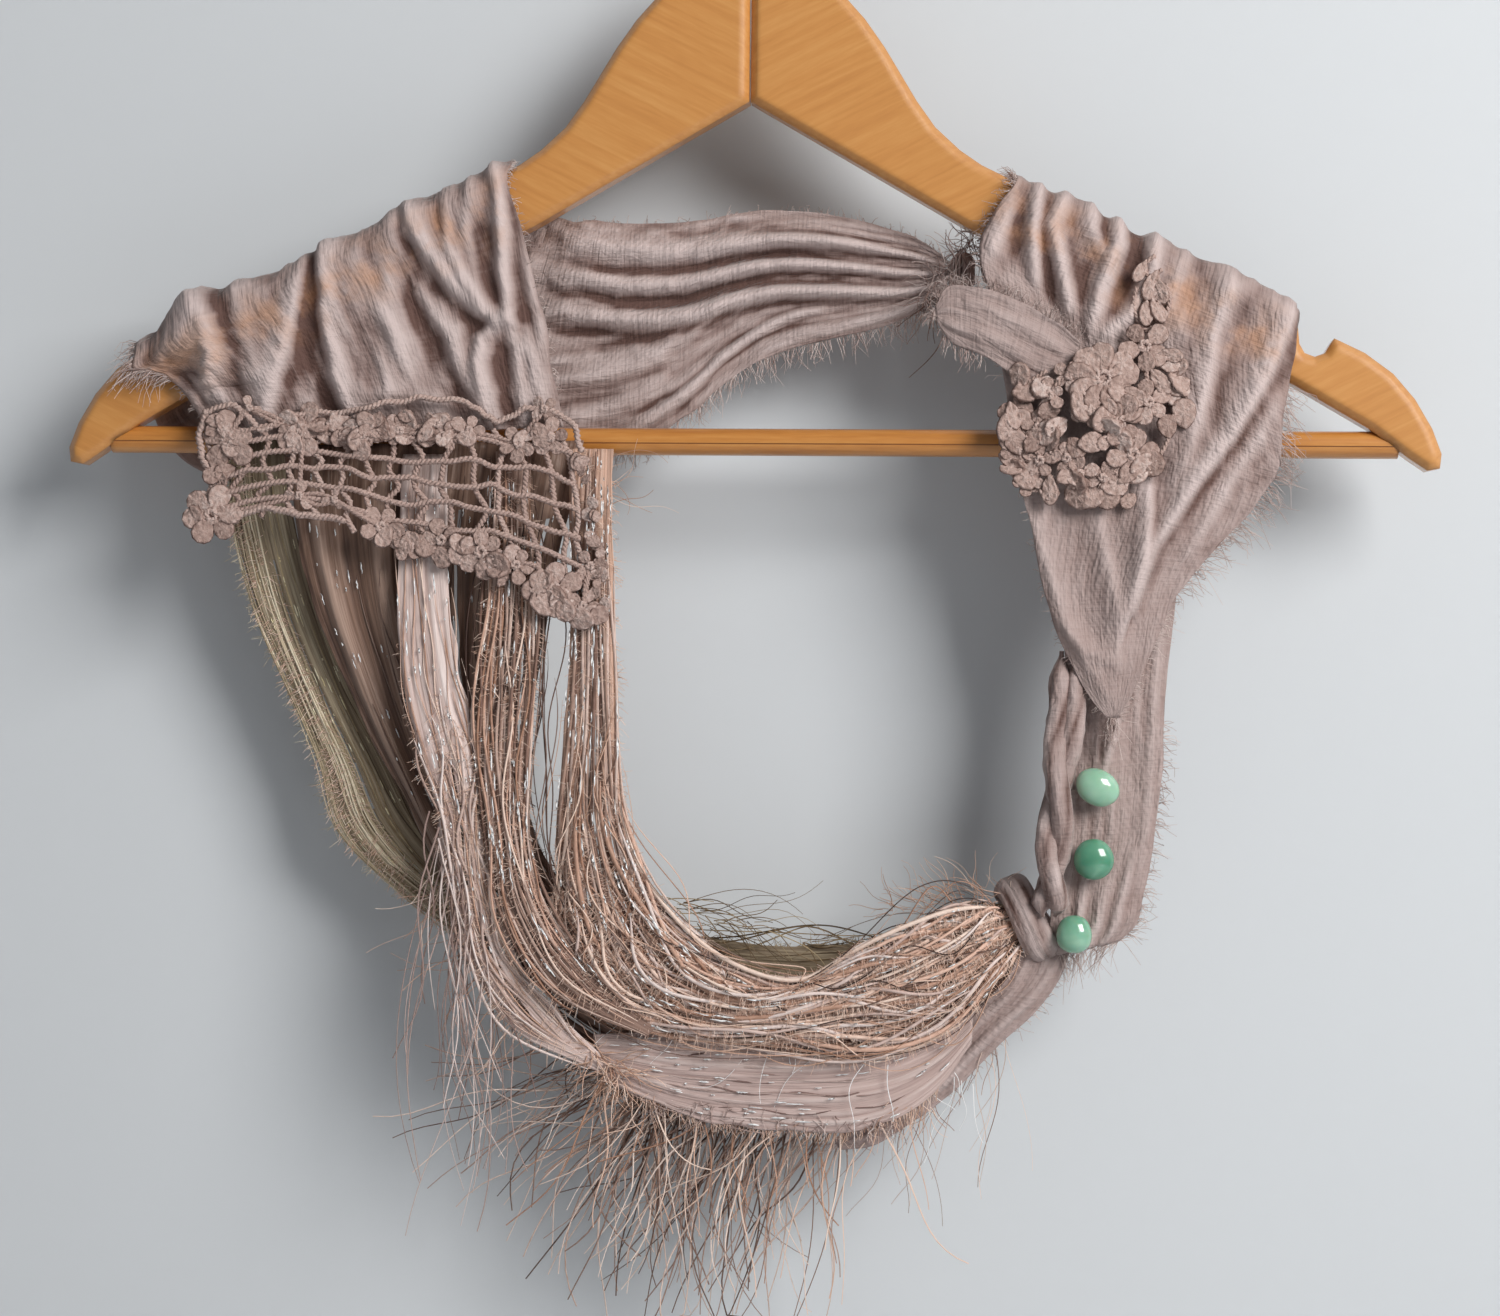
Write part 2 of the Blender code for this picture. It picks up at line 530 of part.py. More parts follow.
def cloths():
    """Every piece of cloth that is a plain loft."""
    left = LEFT_FRONT_ROWS + arch_rows(**LEFT_ARCH) + LEFT_BACK_ROWS
    right = RIGHT_FRONT_ROWS + arch_rows(**RIGHT_ARCH) + RIGHT_BACK_ROWS
    return [
        Cloth("drape_left", left, LEFT_FOLDS, 22, 22, 0.6, "mauve_gauze"),
        Cloth("neck_stretch", NECK_ROWS, NECK_FOLDS, 18, 12, 0.0, "mauve_gauze"),
        Cloth("drape_right", right, RIGHT_FOLDS, 19, 24, 0.6, "mauve_gauze"),
        Cloth("tail", TAIL_ROWS, TAIL_FOLDS, 8, 14, 0.0, "mauve_gauze"),
        Cloth("collar_tab", COLLAR_ROWS, [], 4, 6, 0.0, "mauve_gauze"),
        Cloth("ribbon_taupe", TAUPE_ROWS, TAUPE_FOLDS, 14, 20, 0.0, "taupe_ribbon"),
        Cloth("ribbon_olive", OLIVE_ROWS, OLIVE_FOLDS, 4, 20, 0.0, "olive_ribbon"),
        Cloth("ribbon_satin", SATIN_ROWS, [], 3, 12, 0.0, "pink_ribbon"),
        Cloth("ribbon_cords", CORDS_ROWS, [], 3, 12, 0.0, "pink_ribbon"),
        Cloth("ribbon_swag", SWAG_ROWS, SWAG_FOLDS, 8, 20, 0.0, "pink_ribbon"),
        Cloth("ribbon_mauve", MAUVE_ROWS, [], 4, 10, 0.0, "pink_ribbon"),
        Cloth("gauze_end", GAUZE_END_ROWS, [], 4, 12, 0.0, "mauve_gauze"),
        Cloth("crochet_scrap", SCRAP_ROWS, [], 3, 4, 0.0, "crochet_cotton"),
    ]


def net_lines(low, high, cells, cord):
    """Both edges of every cord of a net between two levels."""
    pitch = (high - low - cord) / cells
    return [low + k * pitch + edge for k in range(cells + 1) for edge in (0.0, cord)]


def make_crochet_band(collection):
    """The crochet band with its scalloped edges."""
    along = np.array(net_lines(0.0, 1.0, NET_COLUMNS, NET_CORD / NET_LENGTH))
    top, bottom = NET_TOP_BAND / NET_HEIGHT, 1 - NET_BOTTOM_BAND / NET_HEIGHT
    t = np.array([0.0, *net_lines(top, bottom, NET_ROWS, NET_CORD / NET_HEIGHT), 1.0])
    grid = cloth_grid(CROCHET_COLUMNS, CROCHET_FOLDS, along * (len(CROCHET_COLUMNS) - 1), t)
    scallop = SCALLOP_DEPTH * (np.abs(np.sin(np.pi * along * NET_COLUMNS / 2)) - 0.5)
    grid[:, 0, 2] += scallop
    grid[:, -1, 2] -= scallop
    keep = np.ones((len(along) - 1, len(t) - 1), bool)
    keep[1::2, 2:-1:2] = False
    walled_sheet("crochet_band", grid, keep, "crochet_cotton", collection)


def make_crochet_rosette(collection):
    """The crochet rosette on the right drape."""
    work = bmesh.new()
    rings = []
    for share in ROSETTE_RINGS:
        ring = []
        for k in range(ROSETTE_SECTORS):
            a = 2 * math.pi * k / ROSETTE_SECTORS
            petal = 1 + ROSETTE_PETAL_SHARE * share * math.cos(ROSETTE_PETALS * a)
            radius = ROSETTE_RADIUS * share * petal
            dome = ROSETTE_DOME * math.cos(share * math.pi / 2)
            offset = Vector((radius * math.cos(a), -dome, radius * math.sin(a))) * MM
            ring.append(work.verts.new(Vector(place(ROSETTE_CENTRE)) + offset))
        rings.append(ring)
    work.faces.new(rings[0])
    for i in range(len(rings) - 1):
        for k in range(ROSETTE_SECTORS):
            if i == ROSETTE_GAP_RING and k % ROSETTE_SECTORS_PER_GAP == 1:
                continue
            n = (k + 1) % ROSETTE_SECTORS
            work.faces.new((rings[i][n], rings[i][k], rings[i + 1][k], rings[i + 1][n]))
    mesh = mesh_from("crochet_rosette", work)
    mesh.shade_smooth()
    thicken(add_object("crochet_rosette", mesh, "crochet_cotton", collection))


def primitive_object(name, work, matrix, material_name, collection):
    """An object from a primitive of unit size, set in place."""
    bmesh.ops.transform(work, matrix=matrix, verts=work.verts)
    mesh = mesh_from(name, work)
    mesh.shade_smooth()
    mesh.set_sharp_from_angle(angle=math.radians(50))
    return add_object(name, mesh, material_name, collection)


def make_oval(name, centre, half_sizes, lean, material_name, collection):
    """An oval solid, leaning in the plane of the hanger."""
    work = bmesh.new()
    bmesh.ops.create_uvsphere(work, u_segments=12, v_segments=7, radius=1.0)
    sizes = Matrix.Diagonal((*(half * MM for half in half_sizes), 1.0))
    turn = Matrix.Rotation(math.radians(-lean), 4, "Y")
    middle = Matrix.Translation(Vector(place(centre)))
    primitive_object(name, work, middle @ turn @ sizes, material_name, collection)


def make_knot(collection):
    """The ring of gauze that holds the ribbons' ends, an oval torus."""
    bpy.ops.mesh.primitive_torus_add(
        major_segments=24, minor_segments=8, major_radius=1.0, minor_radius=KNOT_THICKNESS_SHARE
    )
    torus = bpy.context.object
    work = bmesh.new()
    work.from_mesh(torus.data)
    bpy.data.objects.remove(torus)
    width = KNOT_HALF_WIDTH / KNOT_THICKNESS_SHARE
    sizes = Matrix.Diagonal((KNOT_HALF_HEIGHT * MM, KNOT_HALF_DEPTH * MM, width * MM, 1.0))
    turn = Matrix.Rotation(math.radians(90 - KNOT_LEAN), 4, "Y")
    middle = Matrix.Translation(Vector(place(KNOT_CENTRE)))
    primitive_object("knot_ring", work, middle @ turn @ sizes, "mauve_gauze", collection)


def make_wire(name, path, radius, bevel_resolution, material_name, collection):
    """A round wire along a path of points, as a curve with filled caps."""
    curve = bpy.data.curves.new(name, "CURVE")
    curve.dimensions = "3D"
    curve.bevel_depth = radius * MM
    curve.bevel_resolution = bevel_resolution
    curve.use_fill_caps = True
    spline = curve.splines.new("POLY")
    spline.points.add(len(path) - 1)
    for point, co in zip(spline.points, place(path)):
        point.co = (*co, 1.0)
    return add_object(name, curve, material_name, collection)


def make_braid(collection):
    """Two strands twisted round each other."""
    along = np.linspace(0, 1, BRAID_POINTS)
    line = smooth_table(BRAID_LINE, along * (len(BRAID_LINE) - 1))
    turned = np.clip((along - BRAID_STRAIGHT_SHARE) / (1 - BRAID_STRAIGHT_SHARE), 0, 1)
    for strand in range(2):
        angle = 2 * np.pi * (BRAID_TURNS * turned + strand / 2)
        twist = np.stack([np.cos(angle), np.sin(angle), np.zeros(BRAID_POINTS)], axis=1)
        path = line + BRAID_TWIST_RADIUS * twist
        make_wire(f"braid_strand_{strand + 1}", path, BRAID_STRAND_RADIUS, 1, "mauve_gauze", collection)


def make_hook(collection):
    """The steel hook: up its shank, then round to its open end."""
    path = [(0.0, 0.0, WOOD_TOP - HOOK_DEPTH_IN_WOOD), (0.0, 0.0, WOOD_TOP)]
    path.append((0.0, 0.0, WOOD_TOP + 0.5 * HOOK_SHANK))
    for degrees in range(-78, 206, 15):
        a = math.radians(degrees)
        path.append((HOOK_RING * math.cos(a), 0.0, HOOK_CENTRE + HOOK_RING * math.sin(a)))
    make_wire("hanger_hook", path, HOOK_WIRE / 2, 2, "steel_wire", collection)


def rod(low, high, radius, segments):
    """A round rod between two points, as a bmesh."""
    start, end = Vector(place(low)), Vector(place(high))
    turn = (end - start).to_track_quat("Z", "Y").to_matrix().to_4x4()
    work = bmesh.new()
    bmesh.ops.create_cone(
        work, cap_ends=True, segments=segments, radius1=radius * MM, radius2=radius * MM,
        depth=(end - start).length, matrix=Matrix.Translation((start + end) / 2) @ turn,
    )
    return work


def make_cutter(name, low, high, radius, collection):
    """A hidden rod that cuts a hole."""
    mesh = mesh_from(name, rod(low, high, radius, 16))
    obj = bpy.data.objects.new(name, mesh)
    collection.objects.link(obj)
    obj.hide_render = True
    obj.display_type = "WIRE"
    return obj


def arm_outline():
    """The right arm's outline, with the round strap notch in its top edge."""
    points = list(ARM_OUTLINE)
    for degrees in NOTCH_ANGLES:
        a = math.radians(degrees)
        x = NOTCH_CENTRE[0] + NOTCH_RADIUS * math.cos(a)
        points.append(Point(x, NOTCH_CENTRE[1] + NOTCH_RADIUS * math.sin(a)))
    points.append(Point(NOTCH_LEFT_LIP, arm_top(NOTCH_LEFT_LIP)))
    return points + ARM_NECK


def arm_mesh(name, side):
    """One arm as a closed mesh: its outline as a flat curve, given thickness and stood up."""
    curve = bpy.data.curves.new(name, "CURVE")
    curve.dimensions = "2D"
    curve.fill_mode = "BOTH"
    curve.extrude = HANGER_THICKNESS / 2 * MM
    outline = arm_outline()
    spline = curve.splines.new("POLY")
    spline.points.add(len(outline) - 1)
    for point, corner in zip(spline.points, outline):
        point.co = (side * corner.x * MM, (corner.z - BAR_DROP) * MM, 0.0, 1.0)
    spline.use_cyclic_u = True
    flat = bpy.data.objects.new(name, curve)
    mesh = bpy.data.meshes.new_from_object(flat)
    bpy.data.objects.remove(flat)
    work = bmesh.new()
    work.from_mesh(mesh)
    bmesh.ops.remove_doubles(work, verts=work.verts, dist=1e-5)
    bmesh.ops.dissolve_limit(
        work, angle_limit=math.radians(1), verts=work.verts, edges=work.edges
    )
    bmesh.ops.transform(work, matrix=Matrix.Rotation(math.pi / 2, 4, "X"), verts=work.verts)
    return mesh_from(name, work)


def make_arms(parts, cutters):
    """The two wooden arms, mitred in the middle, with sockets for the bar and the hook."""
    shank_foot = WOOD_TOP - HOOK_DEPTH_IN_WOOD - GAP
    shank_hole = make_cutter(
        "shank_hole", (0, 0, shank_foot), (0, 0, WOOD_TOP + 8), HOOK_WIRE / 2 + GAP, cutters
    )
    for side, name in ((-1, "hanger_arm_left"), (1, "hanger_arm_right")):
        arm = add_object(name, arm_mesh(name, side), "lacquered_beech", parts)
        rounding = arm.modifiers.new("rounding", "BEVEL")
        rounding.width = HANGER_EDGE_ROUNDING * MM
        rounding.limit_method = "ANGLE"
        rounding.angle_limit = math.radians(85)
        rounding.segments = 1
        socket_end = (side * (BAR_HALF_LENGTH + GAP), 0, 0)
        socket = make_cutter(name + "_socket", (side * 190, 0, 0), socket_end, BAR_RADIUS + GAP, cutters)
        for tool in (socket, shank_hole):
            cut = arm.modifiers.new(tool.name, "BOOLEAN")
            cut.operation = "DIFFERENCE"
            cut.object = tool


def make_bar(collection):
    """The round bar between the arms."""
    work = rod((-BAR_HALF_LENGTH, 0, 0), (BAR_HALF_LENGTH, 0, 0), BAR_RADIUS, 14)
    primitive_object("hanger_bar", work, Matrix.Identity(4), "lacquered_beech", collection)


def make_fringe(fringe, collection):
    """A narrow strip of cloth with a thread drawn out of every other cell of its lower edge."""
    cells = 2 * fringe.threads + 1
    work = bmesh.new()
    bmesh.ops.create_grid(work, x_segments=cells, y_segments=1, size=0.5)
    for vert in work.verts:
        share, high = vert.co.x + 0.5, vert.co.y > 0
        x = fringe.x0 + (fringe.x1 - fringe.x0) * share
        z = fringe.z0 + (fringe.z1 - fringe.z0) * share + (fringe.height if high else 0.0)
        vert.co = place((x, fringe.y, z))
    bmesh.ops.recalc_face_normals(work, faces=work.faces)
    bmesh.ops.solidify(work, geom=work.faces[:], thickness=THREAD_WIDTH * MM)
    bmesh.ops.recalc_face_normals(work, faces=work.faces)
    middle = sum(vert.co.y for vert in work.verts) / len(work.verts)
    bmesh.ops.translate(work, vec=(0.0, fringe.y * MM - middle, 0.0), verts=work.verts)
    lower = [face for face in work.faces if face.normal.z < -0.7]
    lower.sort(key=lambda face: face.calc_center_median().x)
    for number, face in enumerate(lower[1::2]):
        draw_thread(work, face, fringe, number)
    mesh = mesh_from(fringe.name, work)
    add_object(fringe.name, mesh, "brown_thread", collection)


def draw_thread(work, face, fringe, number):
    """Draws one thread of a fringe out of a face of its strip, in steps."""
    share = number / max(fringe.threads - 1, 1)
    lean = fringe.lean_left + (fringe.lean_right - fringe.lean_left) * share
    reach = fringe.reach_left + (fringe.reach_right - fringe.reach_left) * share
    sway = THREAD_SWAY * math.sin(2.1 * number)
    drift = fringe.drift * (number % 3) / 2
    length = THREAD_SHORTEST + (1 - THREAD_SHORTEST) * (0.5 + 0.5 * math.cos(2.4 * number))
    root = face.calc_center_median().copy()
    for step in range(1, THREAD_STEPS + 1):
        run = step / THREAD_STEPS
        face = bmesh.ops.extrude_discrete_faces(work, faces=[face])["faces"][0]
        half = THREAD_WIDTH / 2 * (1 - 0.4 * run) * MM
        x = lean * math.sin(run * length * math.pi / 2) + sway * run**2
        middle = root + Vector((x, drift * run, -reach * run * length)) * MM
        old = face.calc_center_median()
        for vert in face.verts:
            side = vert.co - old
            vert.co = middle + Vector((math.copysign(half, side.x), math.copysign(half, side.y), 0.0))


def main():
    """Clears the scene and builds the hanger and the scarf necklace."""
    for obj in list(bpy.data.objects):
        bpy.data.objects.remove(obj)
    parts = bpy.data.collections.new("scarf_necklace_on_hanger")
    cutters = bpy.data.collections.new("cutters")
    bpy.context.scene.collection.children.link(parts)
    bpy.context.scene.collection.children.link(cutters)
    make_arms(parts, cutters)
    make_bar(parts)
    make_hook(parts)
    for cloth in cloths():
        make_cloth(cloth, parts)
    make_crochet_band(parts)
    make_crochet_rosette(parts)
    make_oval("tie_binding", TIE_CENTRE, TIE_HALF_SIZES, 0.0, "brown_thread", parts)
    make_braid(parts)
    make_knot(parts)
    for number, bead in enumerate(BEADS, start=1):
        sizes = (bead.half_width, bead.half_depth, bead.half_height)
        make_oval(f"jade_bead_{number}", (bead.x, bead.y, bead.z), sizes, bead.lean, "jade", parts)
    for fringe in FRINGES:
        make_fringe(fringe, parts)


main()
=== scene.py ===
"""Looks of the scarf necklace on its wooden hanger.

The scarf is one loop of creased gauze, crochet lace and shredded ribbons, with three jade beads. Sizes
are in millimetres, measured from the middle of the hanger's bar: x to the right, y to the back, z up.
Every mesh is stored in metres below the hook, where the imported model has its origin.
"""

import logging
import math
from dataclasses import dataclass, field
from enum import Enum
from functools import partial
from typing import Any, Callable, Sequence

import bmesh
import bpy
import numpy as np
from mathutils import Matrix, Vector

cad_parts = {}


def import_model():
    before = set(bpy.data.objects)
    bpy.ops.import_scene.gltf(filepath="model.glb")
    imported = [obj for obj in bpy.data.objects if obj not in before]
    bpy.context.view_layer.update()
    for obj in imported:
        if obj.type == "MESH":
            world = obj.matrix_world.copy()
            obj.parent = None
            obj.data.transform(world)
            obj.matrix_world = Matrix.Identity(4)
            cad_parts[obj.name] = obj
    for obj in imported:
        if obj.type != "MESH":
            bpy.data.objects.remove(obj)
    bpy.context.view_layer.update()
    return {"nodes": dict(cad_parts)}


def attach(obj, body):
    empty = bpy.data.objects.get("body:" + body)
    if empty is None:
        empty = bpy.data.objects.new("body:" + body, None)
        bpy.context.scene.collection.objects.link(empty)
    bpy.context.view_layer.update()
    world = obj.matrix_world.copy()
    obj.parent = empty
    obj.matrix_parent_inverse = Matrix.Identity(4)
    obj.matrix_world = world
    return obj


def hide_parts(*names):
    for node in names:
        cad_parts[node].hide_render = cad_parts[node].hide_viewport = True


Array = np.ndarray
Piece = bpy.types.Object
Span = tuple[float, float]
Inputs = dict[Any, Any]
# A function that adds a node to one material's tree.
Adder = Callable[..., Any]
log = logging.getLogger("scarf_necklace")

MM = 0.001
# The bar's middle lies this far below the hook.
BAR_DROP = 219.0
# How steeply the arms fall, and how far below the hook the lines down their middles meet.
ARM_SLOPE = 0.4915
ARM_LINE = 105.0
# The corners of a quad in their other order.
FLIPPED = [0, 3, 2, 1]
FRONT = np.array([0.0, -1.0, 0.0])
DOWN = np.array([0.0, 0.0, -1.0])


class Hold(Enum):
    """How a sheet of cloth is held."""

    DRAPED = "draped"
    HUNG = "hung"
    GATHERED = "gathered"
    FOLDED = "folded"


class Slot(Enum):
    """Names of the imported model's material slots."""

    GAUZE = "mauve_gauze"
    CROCHET = "crochet_cotton"
    OLIVE = "olive_ribbon"
    TAUPE = "taupe_ribbon"
    PINK = "pink_ribbon"
    THREAD = "brown_thread"
    JADE = "jade"


# Small tools.


def linear(code: str) -> tuple[float, float, float, float]:
    """An sRGB hex colour as linear light.

    Args:
        code: Six hex digits after a #.

    Returns:
        Red, green, blue and alpha.
    """
    parts = np.array([int(code[k : k + 2], 16) / 255 for k in (1, 3, 5)])
    light = np.where(parts <= 0.04045, parts / 12.92, ((parts + 0.055) / 1.055) ** 2.4)
    return (*light.tolist(), 1.0)


def place(points: Any) -> Array:
    """Rows of x, y and z in the hanger's own millimetres, as metres below the hook."""
    return (np.asarray(points, float) - (0.0, 0.0, BAR_DROP)) * MM


def unit(vectors: Array) -> Array:
    """Vectors with x, y and z last, each scaled to length 1."""
    return vectors / np.maximum(np.linalg.norm(vectors, axis=-1, keepdims=True), 1e-9)


def lattice_noise(x: Array, y: Array, seed: int) -> Array:
    """Random numbers on a square lattice, blended between its points by 3f² − 2f³.

    Args:
        x: First coordinate, in lattice steps.
        y: Second coordinate, of the same shape.
        seed: Which lattice.

    Returns:
        Values from -1 to 1.
    """
    size = 64
    lattice = np.random.default_rng(seed).uniform(-1, 1, (size, size))
    column, line = np.floor(x).astype(int), np.floor(y).astype(int)
    across, along = x - column, y - line
    across, along = across**2 * (3 - 2 * across), along**2 * (3 - 2 * along)
    column, line = column % size, line % size
    right, above = (column + 1) % size, (line + 1) % size
    low = lattice[line, column] * (1 - across) + lattice[line, right] * across
    high = lattice[above, column] * (1 - across) + lattice[above, right] * across
    return low * (1 - along) + high * along


def smooth_table(rows: Sequence[Sequence[float]], at: Array) -> Array:
    """Catmull-Rom curve through each column of a table.

    Args:
        rows: The table, one row for each whole number from 0.
        at: Row numbers between them, of any shape.

    Returns:
        An array of that shape with the table's columns last.
    """
    table = np.asarray(rows, float)
    padded = np.vstack([2 * table[0] - table[1], table, 2 * table[-1] - table[-2]])
    step = np.clip(np.floor(at).astype(int), 0, len(table) - 2)
    f = (at - step)[..., None]
    p0, p1, p2, p3 = (padded[step + k] for k in range(4))
    bend = (2 * p0 - 5 * p1 + 4 * p2 - p3) * f**2 + (3 * p1 - p0 - 3 * p2 + p3) * f**3
    return 0.5 * (2 * p1 + (p2 - p0) * f + bend)


# Meshes.


@dataclass
class Skin:
    """Vertices in millimetres with faces and what the materials read."""

    points: Array
    faces: Array
    uv: Array | None = None
    values: dict[str, Array] = field(default_factory=dict)

    def object(self, name: str) -> Piece:
        """The skin as an object at the origin, smooth shaded.

        Args:
            name: The piece's name.

        Returns:
            The new object, linked to the scene.
        """
        mesh = bpy.data.meshes.new(name)
        mesh.from_pydata(place(self.points).tolist(), [], self.faces.tolist())
        if self.uv is not None:
            layer = mesh.uv_layers.new(name="cloth")
            corners = np.empty(len(mesh.loops), np.int32)
            mesh.loops.foreach_get("vertex_index", corners)
            layer.data.foreach_set("uv", (self.uv[corners] * MM).ravel())
        for key, value in self.values.items():
            store = mesh.attributes.new(key, "FLOAT", "POINT")
            store.data.foreach_set("value", np.ascontiguousarray(value, np.float32))
        mesh.shade_smooth()
        made = bpy.data.objects.new(name, mesh)
        bpy.context.scene.collection.objects.link(made)
        return made


def joined(skins: Sequence[Skin]) -> Skin:
    """Several skins as one.

    Args:
        skins: Skins that carry the same values.

    Returns:
        One skin with all their faces.
    """
    starts = np.cumsum([0] + [len(skin.points) for skin in skins])
    faces = np.vstack([skin.faces + start for skin, start in zip(skins, starts)])
    has_uv = all(skin.uv is not None for skin in skins)
    uv = np.vstack([skin.uv for skin in skins]) if has_uv else None
    values = {k: np.concatenate([skin.values[k] for skin in skins]) for k in skins[0].values}
    return Skin(np.vstack([skin.points for skin in skins]), faces, uv, values)


def quads(rows: int, columns: int, closed: bool = False) -> Array:
    """Quads of a grid of vertices.

    Args:
        rows: Vertices along.
        columns: Vertices across.
        closed: Whether the last column joins the first.

    Returns:
        Four vertex numbers for each cell, by row and column.
    """
    corner = np.arange(rows * columns).reshape(rows, columns)
    after = np.roll(corner, -1, axis=1)
    cells = np.stack([corner[:-1], after[:-1], after[1:], corner[1:]], axis=-1)
    return cells if closed else cells[:, :-1]


def repeated(cells: Array, count: int, size: int) -> Array:
    """The quads of one form of a given size, turned over and repeated for a count of such forms."""
    return (cells[..., FLIPPED].reshape(-1, 4) + np.arange(count)[:, None, None] * size).reshape(-1, 4)


def tubes(paths: Array, radii: Array, tone: Array, sides: int = 3, flat: float = 1.0) -> Skin:
    """A round tube along each path: a ring of points about each path point, square to its run.

    Args:
        paths: One path a row, of points in millimetres.
        radii: A radius for each path point.
        tone: One number from 0 to 1 for each path, for its colour.
        sides: Sides of each tube; a four-sided one has closed ends.
        flat: Depth of the tube as a share of its width.

    Returns:
        The tubes, with their tone as a value.
    """
    count, steps = paths.shape[:2]
    run = unit(np.gradient(paths, axis=1))
    across = np.cross(run, (0.0, 1.0, 0.0))
    weak = np.linalg.norm(across, axis=-1, keepdims=True) < 0.15
    across = unit(np.where(weak, np.cross(run, (1.0, 0.0, 0.2)), across))
    out = np.cross(across, run)
    turn = np.arange(sides)[:, None] * 2 * np.pi / sides
    ring = across[:, :, None] * np.cos(turn) + flat * out[:, :, None] * np.sin(turn)
    points = paths[:, :, None] + ring * radii[:, :, None, None]
    faces = repeated(quads(steps, sides, True), count, steps * sides)
    if sides == 4:
        first = np.arange(count)[:, None] * steps * sides + np.arange(4)
        faces = np.vstack([faces, first, first[:, ::-1] + (steps - 1) * sides])
    tones = np.repeat(tone, steps * sides)
    return Skin(points.reshape(-1, 3), faces, None, {"tone": tones})


# Finishes.


def feed(node: Any, inputs: Inputs) -> None:
    """Feeds a node's inputs.

    Args:
        node: The node.
        inputs: For each input an output socket, a node whose first output feeds it, or a plain value.
    """
    for key, value in inputs.items():
        source = value.outputs[0] if isinstance(value, bpy.types.Node) else value
        if isinstance(source, bpy.types.NodeSocket):
            node.id_data.links.new(source, node.inputs[key])
        else:
            node.inputs[key].default_value = source


def add_node(tree: bpy.types.NodeTree, kind: str, inputs: Inputs | None = None, **settings: Any) -> Any:
    """Adds a shader node with its settings and links.

    Args:
        tree: The material's node tree.
        kind: The node's type, after ShaderNode.
        inputs: What feeds each input.
        settings: Properties by name; stops holds the stops of a ramp.

    Returns:
        The new node.
    """
    made = tree.nodes.new("ShaderNode" + kind)
    for number, (position, colour) in enumerate(settings.pop("stops", ())):
        ramp = made.color_ramp.elements
        stop = ramp[number] if number < len(ramp) else ramp.new(position)
        stop.position = position
        stop.color = linear(colour)
    for key, value in settings.items():
        setattr(made, key, value)
    feed(made, inputs or {})
    return made


@dataclass(frozen=True)
class Finish:
    """What all finishes share: a material with a Principled shader, made once."""

    name: str

    def material(self) -> bpy.types.Material:
        """The finish as a material."""
        made = bpy.data.materials.get(self.name)
        if made is None:
            made = bpy.data.materials.new(self.name)
            made.use_nodes = True
            self.paint(partial(add_node, made.node_tree), made.node_tree.nodes["Principled BSDF"])
        return made

    def paint(self, add: Adder, shader: Any) -> None:
        """Adds the finish's nodes and feeds the material's Principled shader."""
        raise NotImplementedError


